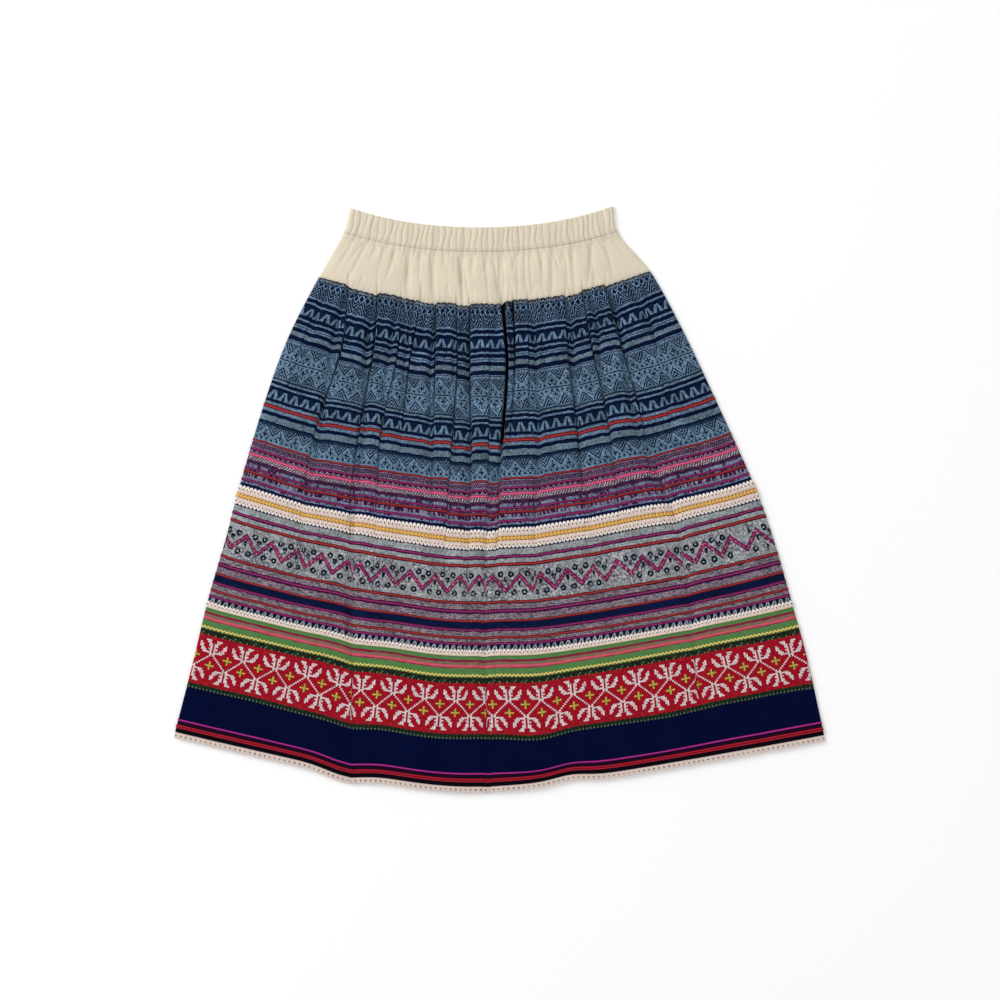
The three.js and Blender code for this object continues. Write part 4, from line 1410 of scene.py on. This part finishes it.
def cross_stitch(colours):
    """Thread crosses over a dark ground, coloured by the chart's letter on each stitch."""
    net = Net("cross_stitch", 0.75, 0.05, 0.1)
    across, down = net.coordinates("cell", 1)
    letter = net.node("ShaderNodeAttribute", {"attribute_name": "stitch"}, output=2)
    inks = (
        srgb(190, 6, 38), srgb(255, 236, 238), srgb(236, 196, 90), srgb(84, 84, 18),
        srgb(8, 22, 18), srgb(20, 58, 34), srgb(92, 132, 96), tuple(colours.navy),
    )
    cloth = net.bands((letter + 0.5) / len(inks), [(i / len(inks), ink) for i, ink in enumerate(inks)])
    u = across % 1.0
    v = down % 1.0
    from_arms = abs(abs(u - 0.5) - abs(v - 0.5))
    corner = abs(u - 0.5).either(abs(v - 0.5))
    hole = (corner > 0.35) * (from_arms > 0.15)
    edging = abs(down - len(STITCH_CHART) / 2) > 12.5
    speck = net.noise(net.place(across, down, 9.0), 2.3, 1.0) > 0.56
    twist = ((u + v) * 18.0).sine() * 0.5 + 0.5
    fray = net.noise(net.place(across, down), 1.7, 2.0)
    under = net.mix(edging * speck, srgb(44, 2, 10), srgb(52, 62, 22))
    cloth = net.mix(hole * 0.8, cloth, under)
    shade = 0.24 + 1.36 * fray + 0.08 * twist
    return net.dress(cloth, shade, 0.62 + 0.2 * fray, (1 - from_arms * 1.6) + 0.2 * twist, 0.0004)


def thread_trim(name, colour, dark, hollow_shade, turns=1.0, slant=0.0, edge=0, gap=0, dashes=0, light=None):
    """A braid, ribbon or cord: its own colour, darker in the hollow between its ribs as painted shade, with
    fine threads. It may have dark edges, a dark gap along its middle as painted shade, dark dashes, or
    light ticks."""
    net = Net(name, 0.66, 0.05, 0.15)
    phase, t = net.coordinates("trim", 1)
    across, down = net.coordinates()
    ribs = abs(((phase * turns + t * slant) * math.pi).sine())
    threads = net.noise(net.place(across * 2.0, down * 2.0), 1.1, 2.0)
    off_middle = abs(t - 0.5)
    # Painted shade: the cloth is darker in each hollow between the ribs
    cloth = net.mix((1 - ribs) * (1 - ribs) * hollow_shade, tuple(colour), dark)
    if edge:
        cloth = net.mix((off_middle > 0.5 - edge) * 0.75, cloth, dark)
    # Painted shade: the dark line along the middle lies in the groove between the two cords
    if gap:
        cloth = net.mix((off_middle < gap) * 0.85, cloth, dark)
    if light:
        ticks = (off_middle < 0.15) * (((phase * 0.8) % 1.0) < 0.7)
        cloth = net.mix(ticks * 0.6, cloth, light)
    if dashes:
        cloth = net.mix((off_middle > 0.3) * ((phase % 1.0) < dashes) * 0.85, cloth, dark)
    return net.dress(cloth, 0.84 + 0.3 * threads, 0.58 + 0.2 * threads, ribs + 0.35 * threads, 0.0004)


def scalloped_braid(name, colours, loops, edging):
    """Speckled cream braid: paler loops along one edge, and a straight edge of its own colour."""
    net = Net(name, 0.8, 0.1, 0.1)
    phase, t = net.coordinates("trim", 1)
    across, down = net.coordinates()
    from_loops = t if loops == "top" else 1 - t
    du = abs(phase % 1.0 - 0.5)
    dv = from_loops - 0.44
    notch = (from_loops < 0.3) * (du > 0.34 + 0.5 * from_loops)
    eyelet = (du * du + 1.6 * dv * dv) < 0.026
    braided = from_loops > 0.34
    threads = net.noise(net.place(across * 2.0, down * 2.0), 1.2, 2.0)
    specks = net.noise(net.place(across, down, 5.0), 1.5, 2.0) > 0.56
    cloth = net.mix(braided, srgb(250, 238, 228), tuple(colours.braid))
    cloth = net.mix(braided * specks * 0.5, cloth, srgb(150, 112, 104))
    cloth = net.mix(notch.either(eyelet) * 0.8, cloth, srgb(60, 48, 56))
    cloth = net.mix(from_loops > 0.84, cloth, edging)
    relief = 0.4 * threads + 0.5 * (1 - eyelet)
    return net.dress(cloth, 0.86 + 0.26 * threads, 0.72 + 0.2 * threads, relief, 0.0005)


def lace_thread(colours):
    """Cream lace, darker where it is sewn on, and with painted shadow round its row of holes."""
    net = Net("hem_lace", 0.85, 0.1, 0.1)
    across, down = net.coordinates()
    threads = net.noise(net.place(across, down), 1.1, 3.0)
    seam = net.between(down, HEM_END, HEM_END + 1.0)
    shadow = net.noise(net.place(across, 0.0, 31.0), 24.0, 1.0)
    pitch = BODY_CUT / LACE_REPEATS
    du = abs(across % pitch - pitch / 2)
    dv = down - LACE_HOLES
    # Painted shadow: uneven dark discs over the holes and round them
    hole_shadow = (du * du + dv * dv).root() < 0.5 + 1.2 * shadow
    cloth = net.mix(seam * 0.35, tuple(colours.braid), srgb(150, 130, 112))
    cloth = net.mix(hole_shadow * 0.75, cloth, srgb(52, 40, 40))
    relief = 0.5 * weave(across, down, 0.6) + 0.5 * threads
    return net.dress(cloth, 0.84 + 0.26 * threads, 0.78 + 0.15 * threads, relief, 0.0003)


def sewing_thread(name, colour):
    net = Net(name, 0.7, 0.05, 0.1)
    fray = net.noise(net.node("ShaderNodeTexCoord", {}, output=3), 0.0006, 2.0)
    return net.dress(colour, 0.85 + 0.3 * fray, 0.55 + 0.2 * fray)


def stitch_row(cloth, side, down, thread, sizes):
    """A row of running stitches: each is a short rounded ridge of thread that dips at both ends."""
    count = int(YOKE_CUT / (RUNNING_LENGTH + RUNNING_GAP))
    starts = (np.arange(count) + 0.5) * YOKE_CUT / count - RUNNING_LENGTH / 2
    along = np.linspace(0, 1, 5)
    across = (starts[:, None] + along[None, :] * RUNNING_LENGTH).ravel()
    share = shares_at(side, cloth, [down], across, sizes)
    rise = np.tile(np.sin(math.pi * along), count)[None, :]
    beside = np.array([[-1.0], [0.0], [1.0]])
    downs = down + beside * THREAD_HALF + 0 * share
    height = 0.02 + THREAD_HALF * 1.2 * rise * (1 - 0.9 * np.abs(beside))
    if side == "front":
        points = raised(side, cloth, downs, share + 0 * downs, height + 0.05, sizes)
    else:
        points = surface(side, cloth, downs, share, sizes)
        points[..., 2] = np.maximum(0.0, points[..., 2] - height)
    in_stitch = np.arange(count * 5 - 1) % 5 < 4
    faces = grid_faces(3, count * 5, under=side == "back", keep=np.stack([in_stitch, in_stitch]))
    thing = new_mesh(cloth + "_stitches_" + side, points, faces)
    finish(thing, thread)


class SkirtOperator:
    """What every step shares: its colours and sizes, and how it is listed."""

    bl_options = {"REGISTER", "UNDO"}

    @property
    def colours(self):
        return bpy.context.scene.skirt_colours

    @property
    def sizes(self):
        return bpy.context.scene.skirt_sizes


class SKIRT_OT_casing(SkirtOperator, bpy.types.Operator):
    """Make the gathered elastic casing and the yoke below it"""

    bl_idname = "skirt.casing"
    bl_label = "Casing and Yoke"

    def execute(self, context):
        cotton = cream_cotton(self.colours)
        thread = sewing_thread("cream_thread", srgb(206, 194, 168))
        top = -0.15
        under_casing = 1.6
        grids = {"front": ((20, 640), (40, 420)), "back": ((12, 420), (18, 240))}
        for side, (casing_grid, yoke_grid) in grids.items():
            sewn_panel(
                "casing", side, "casing", top, CASING_END, *casing_grid, cotton, "cream_cotton",
                self.sizes, wall=CASING_SHELL,
            )
            sewn_panel(
                "yoke", side, "yoke", CASING_END - under_casing, YOKE_END, *yoke_grid, cotton,
                "cream_cotton", self.sizes,
            )
            for cloth, down in (("casing", CASING_SEAM), ("yoke", YOKE_END - 2.2)):
                stitch_row(cloth, side, down, thread, self.sizes)
        return {"FINISHED"}


class SKIRT_OT_batik(SkirtOperator, bpy.types.Operator):
    """Make the gathered patterned cloth below the yoke"""

    bl_idname = "skirt.batik"
    bl_label = "Patterned Cloth"

    def execute(self, context):
        cloth = indigo_batik(self.colours)
        near_seam = [YOKE_END + away for away in (1.5, 3.5, 6, 9, 12.5)]
        round_trims = [
            round(row, 3)
            for start, end in FLUSH_SPANS
            for row in (start - FLUSH_START, start - FLUSH_FULL, end + FLUSH_FULL, end + FLUSH_START)
        ]
        grids = {"front": (72, self.sizes.columns, near_seam), "back": (48, 240, round_trims)}
        for side, (rows, columns, extra) in grids.items():
            sewn_panel(
                "batik", side, "body", YOKE_END, BATIK_END, rows, columns, cloth, "indigo_batik",
                self.sizes, extra=extra,
            )
        return {"FINISHED"}


class SKIRT_OT_bands(SkirtOperator, bpy.types.Operator):
    """Make the green woven strip and the plain navy band above the hem"""

    bl_idname = "skirt.bands"
    bl_label = "Green and Navy Bands"

    def execute(self, context):
        woven = green_woven(self.colours)
        plain = navy_cotton(self.colours)
        for side, columns in (("front", 320), ("back", 200)):
            for name, start, end, rows, material, slot in (
                ("green", BATIK_END, GREEN_END, 10, woven, "green_woven"),
                ("hem", STITCHED_END, HEM_END, 20, plain, "navy_cotton"),
            ):
                sewn_panel(name, side, "body", start, end, rows, columns, material, slot, self.sizes)
        return {"FINISHED"}


class SKIRT_OT_stitched(SkirtOperator, bpy.types.Operator):
    """Make the cross-stitched band, one raised stitch at a time"""

    bl_idname = "skirt.stitched"
    bl_label = "Cross-stitched Band"

    def execute(self, context):
        stitches = cross_stitch(self.colours)
        letters = np.array([[STITCH_LETTERS.index(letter) for letter in row] for row in STITCH_CHART])
        chart = np.tile(letters, (1, STITCH_REPEATS))
        rows, columns = chart.shape
        downs = np.linspace(GREEN_END + SEAM_GAP / 2, STITCHED_END - SEAM_GAP / 2, rows + 1)[:, None]
        across = np.linspace(0, BODY_CUT, columns + 1)
        inward = np.array([0, 0, -1]) * self.sizes.shell / MM

        # Corners of the stitches, the same corners inside the cloth, and on the front each stitch's top
        count = (rows + 1) * (columns + 1)
        corner_cells = np.stack(np.meshgrid(np.arange(columns + 1.0), np.arange(rows + 1.0)), axis=-1)
        top_cells = corner_cells[:-1, :-1] + 0.5
        r, c = np.meshgrid(np.arange(rows), np.arange(columns), indexing="ij")
        a = r * (columns + 1) + c
        b = a + columns + 1
        square = np.stack([a, a + 1, b + 1, b], axis=-1).reshape(-1, 4)
        top = 2 * count + r * columns + c
        slopes = [np.stack(face, axis=-1) for face in (
            (a, b, top), (b, b + 1, top), (b + 1, a + 1, top), (a + 1, a, top),
        )]
        rim = np.concatenate([
            np.arange(columns + 1),
            (np.arange(1, rows + 1) + 1) * (columns + 1) - 1,
            rows * (columns + 1) + np.arange(columns - 1, -1, -1),
            np.arange(rows - 1, 0, -1) * (columns + 1),
        ])
        after = np.roll(rim, -1)
        wall = np.stack([rim, after, after + count, rim + count], axis=-1)

        for side in ("front", "back"):
            shares = shares_at(side, "body", downs[:, 0], across, self.sizes)
            corners = surface(side, "body", downs, shares, self.sizes)
            if side == "front":
                lift = STITCH_LIFT + STITCH_UNEVEN * np.sin(np.arange(rows * columns) * 2.399)
                tops = raised(
                    side, "body", (downs[:-1] + downs[1:]) / 2, (shares[:-1, :-1] + shares[1:, 1:]) / 2,
                    lift.reshape(rows, columns), self.sizes,
                )
                points = [corners, corners + inward, tops]
                cells = [corner_cells, corner_cells, top_cells]
                outer = np.stack(slopes, axis=2).reshape(-1, 3)
                inner = [square + count, wall]
                values = np.repeat(chart.ravel(), 4)
            else:
                points = [corners, corners - inward]
                cells = [corner_cells, corner_cells]
                outer = square
                inner = [(square + count)[:, ::-1], wall[:, ::-1]]
                values = chart.ravel()
            hidden = np.concatenate(inner)
            values = np.concatenate([values, np.zeros(len(hidden))])
            uv = np.concatenate([cell.reshape(-1, 2) for cell in cells])
            thing = new_mesh(
                "stitched_" + side + "_cloth", np.concatenate([p.reshape(-1, 3) for p in points]),
                outer.tolist() + hidden.tolist(), {"cell": uv}, values,
            )
            finish(thing, stitches, ["stitched_" + side])
        return {"FINISHED"}


class SKIRT_OT_lace(SkirtOperator, bpy.types.Operator):
    """Make the narrow lace on the hem, with its row of small holes"""

    bl_idname = "skirt.lace"
    bl_label = "Hem Lace"

    def execute(self, context):
        lace = lace_thread(self.colours)
        start, end = HEM_END + SEAM_GAP / 2, LACE_END - SEAM_GAP / 2
        around_holes = (-0.8, 0.0, 0.8, 1.6, 2.5)
        row_downs = np.array([start, start + 1.6, *(LACE_HOLES + away for away in around_holes), end])
        hole_rows = slice(2, 4)
        steps = 8
        columns = LACE_REPEATS * steps + 1
        across = np.linspace(0, BODY_CUT, columns)
        down = np.repeat(row_downs[:, None], columns, axis=1)
        down[-1] += 0.5 * np.abs(np.sin(math.pi * np.arange(columns) / steps)) - 0.5
        cell = np.arange(columns - 1) % steps
        keep = np.ones((len(row_downs) - 1, columns - 1), bool)
        keep[hole_rows] = (cell < 3) | (cell > 4)
        cloth = np.stack([across[None, :] + 0 * down, down], axis=-1) * MM
        for side in ("front", "back"):
            share = shares_at(side, "body", [700.0], across, self.sizes)
            points = surface(side, "body", down, share, self.sizes)
            faces = grid_faces(len(row_downs), columns, under=side == "back", keep=keep)
            thing = new_mesh("lace_" + side + "_cloth", points, faces, {"cloth": cloth})
            drop_loose(thing)
            thicken(thing, self.sizes.shell)
            finish(thing, lace, ["lace_" + side])
        return {"FINISHED"}


def waves(phase):
    """One hump for each repeat along a trim, from 0 to 1."""
    return np.abs(np.sin(math.pi * phase))


def scallops(up, down):
    """Edges that swell out once in each repeat, by up and down."""
    return {"points": 6, "edges": lambda phase: (up * waves(phase), down * waves(phase))}


def even(points):
    return {"points": points, "edges": lambda phase: (0.0 * phase, 0.0 * phase)}


def zigzag(phase):
    swing = 1.035 * (1 - 4 * np.abs((phase % 1.0) - 0.5))
    return -swing, swing


def domed(t):
    return np.sqrt(np.maximum(0.0, 1 - (2 * t - 1) ** 2))


def bumpy(phase, t):
    return 1.35 * domed(t) ** 0.6 * (0.62 + 0.38 * waves(phase))


def chain(phase, t):
    return 1.6 * domed(t) ** 0.7 * (0.55 + 0.45 * waves(phase + 0.55 * np.abs(2 * t - 1)))


def picots(phase, t):
    """Separate loops above a cord with a groove in it."""
    cord = 1.0 - 0.25 * swell(t, 0.62, 0.06)
    return 1.2 * domed(t) ** 0.6 * np.where(t < 0.6, 0.45 + 0.55 * waves(phase), 1.0) * cord


def flat_ribbon(phase, t):
    return 0.55 * domed(t) ** 0.5 * (0.85 + 0.15 * waves(phase))


def flat_braid(phase, t):
    return 0.9 * domed(t) ** 0.5 + 0 * phase


def round_cord(phase, t):
    return 1.1 * domed(t) + 0 * phase


def twin_cord(phase, t):
    return 1.1 * np.sqrt(np.abs(np.sin(2 * math.pi * t))) + 0 * phase


class SKIRT_OT_braids(SkirtOperator, bpy.types.Operator):
    """Make the cream scalloped braids, the gold chain braid and the picot braid"""

    bl_idname = "skirt.braids"
    bl_label = "Braids"

    def execute(self, context):
        beige = srgb(228, 208, 196)
        hanging = scalloped_braid("cream_braid", self.colours, "bottom", beige)
        standing = scalloped_braid("cream_braid_upper", self.colours, "top", beige)
        picot = scalloped_braid("picot_braid", self.colours, "top", srgb(242, 230, 190))
        gold = thread_trim("gold_braid", self.colours.gold, srgb(60, 34, 18), 0.6, dashes=0.5)
        pieces = (
            ("cream_braid_upper", UPPER_BRAID, scallops(1.8, 0.0), bumpy, standing, 160, "cream_braid"),
            ("gold_braid", GOLD_BRAID, even(6), chain, gold, 168, "gold_braid"),
            ("cream_braid_lower", LOWER_BRAID, scallops(0.0, 1.8), bumpy, hanging, 160, "cream_braid"),
            ("picot_braid", PICOT_LOOPS, scallops(1.4, 0.0), picots, picot, 170, "cream_braid"),
        )
        for side in ("front", "back"):
            for name, span, outline, height, material, repeats, slot in pieces:
                edges, steps = (outline, 9) if side == "front" else (even(4), 5)
                whole = name + "_" + side
                made = strip(whole + "_trim", side, span, repeats, edges, height, steps, self.sizes)
                finish(made, material, [whole])
        return {"FINISHED"}


class SKIRT_OT_ribbons(SkirtOperator, bpy.types.Operator):
    """Make the red, magenta and pink ribbons sewn across the patterned cloth"""

    bl_idname = "skirt.ribbons"
    bl_label = "Ribbons"

    def execute(self, context):
        colours = self.colours
        looks = (
            ("red", colours.red, srgb(48, 2, 16), srgb(206, 84, 76)),
            ("magenta", colours.magenta, srgb(34, 6, 52), srgb(204, 74, 146)),
            ("pink", colours.pink, srgb(122, 16, 64), srgb(250, 150, 180)),
        )
        materials = {
            name: thread_trim(name + "_ribbon", colour, dark, 0.35, slant=0.3, edge=0.16, light=light)
            for name, colour, dark, light in looks
        }

        def sew(name, side, span):
            return strip(name, side, span, 300, even(2), flat_ribbon, 5, self.sizes)

        for side in ("front", "back"):
            made = sew("red_ribbon_" + side + "_trim", side, RED_RIBBON)
            finish(made, materials["red"], ["red_ribbon_" + side])
        for number, (start, end, colour) in enumerate(THIN_RIBBONS, start=1):
            made = sew(f"thin_ribbon_{number:02d}", "front", (start, end))
            finish(made, materials[colour])
        return {"FINISHED"}


class SKIRT_OT_edgings(SkirtOperator, bpy.types.Operator):
    """Make the ric-rac on the green strip and the cords above the hem"""

    bl_idname = "skirt.edgings"
    bl_label = "Ric-rac and Cords"

    def execute(self, context):
        yellow = thread_trim("yellow_ric_rac", self.colours.yellow, srgb(150, 118, 50), 0.3, turns=2.0)
        magenta = thread_trim("magenta_cord", srgb(190, 44, 150), srgb(96, 14, 80), 0.6, slant=1.0)
        red = thread_trim("red_cord", srgb(192, 22, 48), srgb(46, 2, 14), 0.75, slant=1.0, gap=0.1)
        wave = {"points": 8, "edges": zigzag}
        pieces = (
            ("ric_rac_front", RIC_RAC, wave, flat_braid, yellow, "yellow_ric_rac", 158, 5),
            ("magenta_cord_front", MAGENTA_CORD, even(4), round_cord, magenta, "magenta_cord", 200, 7),
            ("red_cord_front", RED_CORD, even(4), twin_cord, red, "red_ribbon", 200, 9),
        )
        for name, span, outline, height, material, slot, repeats, steps in pieces:
            made = strip(name + "_trim", "front", span, repeats, outline, height, steps, self.sizes)
            finish(made, material, [name])
        return {"FINISHED"}


class SKIRT_OT_stage(SkirtOperator, bpy.types.Operator):
    """Make the pale floor, the soft light and the camera that looks straight down"""

    bl_idname = "skirt.stage"
    bl_label = "Stage"

    def execute(self, context):
        white = (1, 1, 1, 1)
        just_below = 0.0002
        bpy.ops.mesh.primitive_plane_add(size=12, location=(0, 0, -just_below))
        floor = bpy.context.active_object
        floor.name = "floor"
        bpy.ops.object.transform_apply(location=True, scale=True)
        net = Net("floor", 0.9, 0.0, 0.1)
        patches = net.noise(net.node("ShaderNodeTexCoord", {}, output=3), 0.4)
        floor.data.materials.append(net.dress(tuple(self.colours.floor), 0.99 + 0.02 * patches))
        net.shader.inputs["Emission Color"].default_value = white
        net.shader.inputs["Emission Strength"].default_value = 0.16

        key = bpy.data.lights.new("key", "AREA")
        key.shape = "SQUARE"
        key.size = 3
        key.energy = self.sizes.light
        lamp = bpy.data.objects.new("key", key)
        lamp.location = (-3.8, 2.6, 3.5)
        bpy.context.scene.collection.objects.link(lamp)
        aim = -lamp.location.normalized()
        lamp.rotation_mode = "QUATERNION"
        lamp.rotation_quaternion = aim.to_track_quat("-Z", "Y")

        world = bpy.data.worlds.new("studio")
        world.use_nodes = True
        background = world.node_tree.nodes["Background"]
        background.inputs["Color"].default_value = white
        background.inputs["Strength"].default_value = 0.62
        bpy.context.scene.world = world
        bpy.context.scene.view_settings.view_transform = "Standard"

        millimetres_per_pixel = 1.24
        frame_width = 1000 * millimetres_per_pixel * MM
        camera = bpy.data.cameras.new("camera")
        camera.lens = 100
        camera.sensor_width = 36
        distance = frame_width * camera.lens / camera.sensor_width
        half_pixel = 0.0006
        cloth_middle = 0.008
        eye = bpy.data.objects.new("camera", camera)
        eye.location = (half_pixel, -half_pixel, distance + cloth_middle)
        bpy.context.scene.collection.objects.link(eye)
        bpy.context.scene.camera = eye
        return {"FINISHED"}


STEPS = (
    SKIRT_OT_casing,
    SKIRT_OT_batik,
    SKIRT_OT_bands,
    SKIRT_OT_stitched,
    SKIRT_OT_lace,
    SKIRT_OT_braids,
    SKIRT_OT_ribbons,
    SKIRT_OT_edgings,
    SKIRT_OT_stage,
)


class SKIRT_PT_panel(bpy.types.Panel):
    """Lists the skirt's steps, sizes and colours in the sidebar"""

    bl_idname = "SKIRT_PT_panel"
    bl_label = "Gathered Midi Skirt"
    bl_space_type = "VIEW_3D"
    bl_region_type = "UI"
    bl_category = "Skirt"

    def draw(self, context):
        for step in STEPS:
            self.layout.operator(step.bl_idname)
        for group in (context.scene.skirt_sizes, context.scene.skirt_colours):
            for key in group.__annotations__:
                self.layout.prop(group, key)


CLASSES = (SkirtColours, SkirtSizes, *STEPS, SKIRT_PT_panel)


def register():
    for kind in CLASSES:
        bpy.utils.register_class(kind)
    bpy.types.Scene.skirt_colours = PointerProperty(type=SkirtColours)
    bpy.types.Scene.skirt_sizes = PointerProperty(type=SkirtSizes)


def unregister():
    del bpy.types.Scene.skirt_sizes
    del bpy.types.Scene.skirt_colours
    for kind in reversed(CLASSES):
        bpy.utils.unregister_class(kind)


def main():
    register()
    bpy.ops.skirt.casing()
    bpy.ops.skirt.batik()
    bpy.ops.skirt.bands()
    bpy.ops.skirt.stitched()
    bpy.ops.skirt.lace()
    bpy.ops.skirt.braids()
    bpy.ops.skirt.ribbons()
    bpy.ops.skirt.edgings()
    declare_cuts()
    bpy.ops.skirt.stage()


if __name__ == "__main__":
    main()
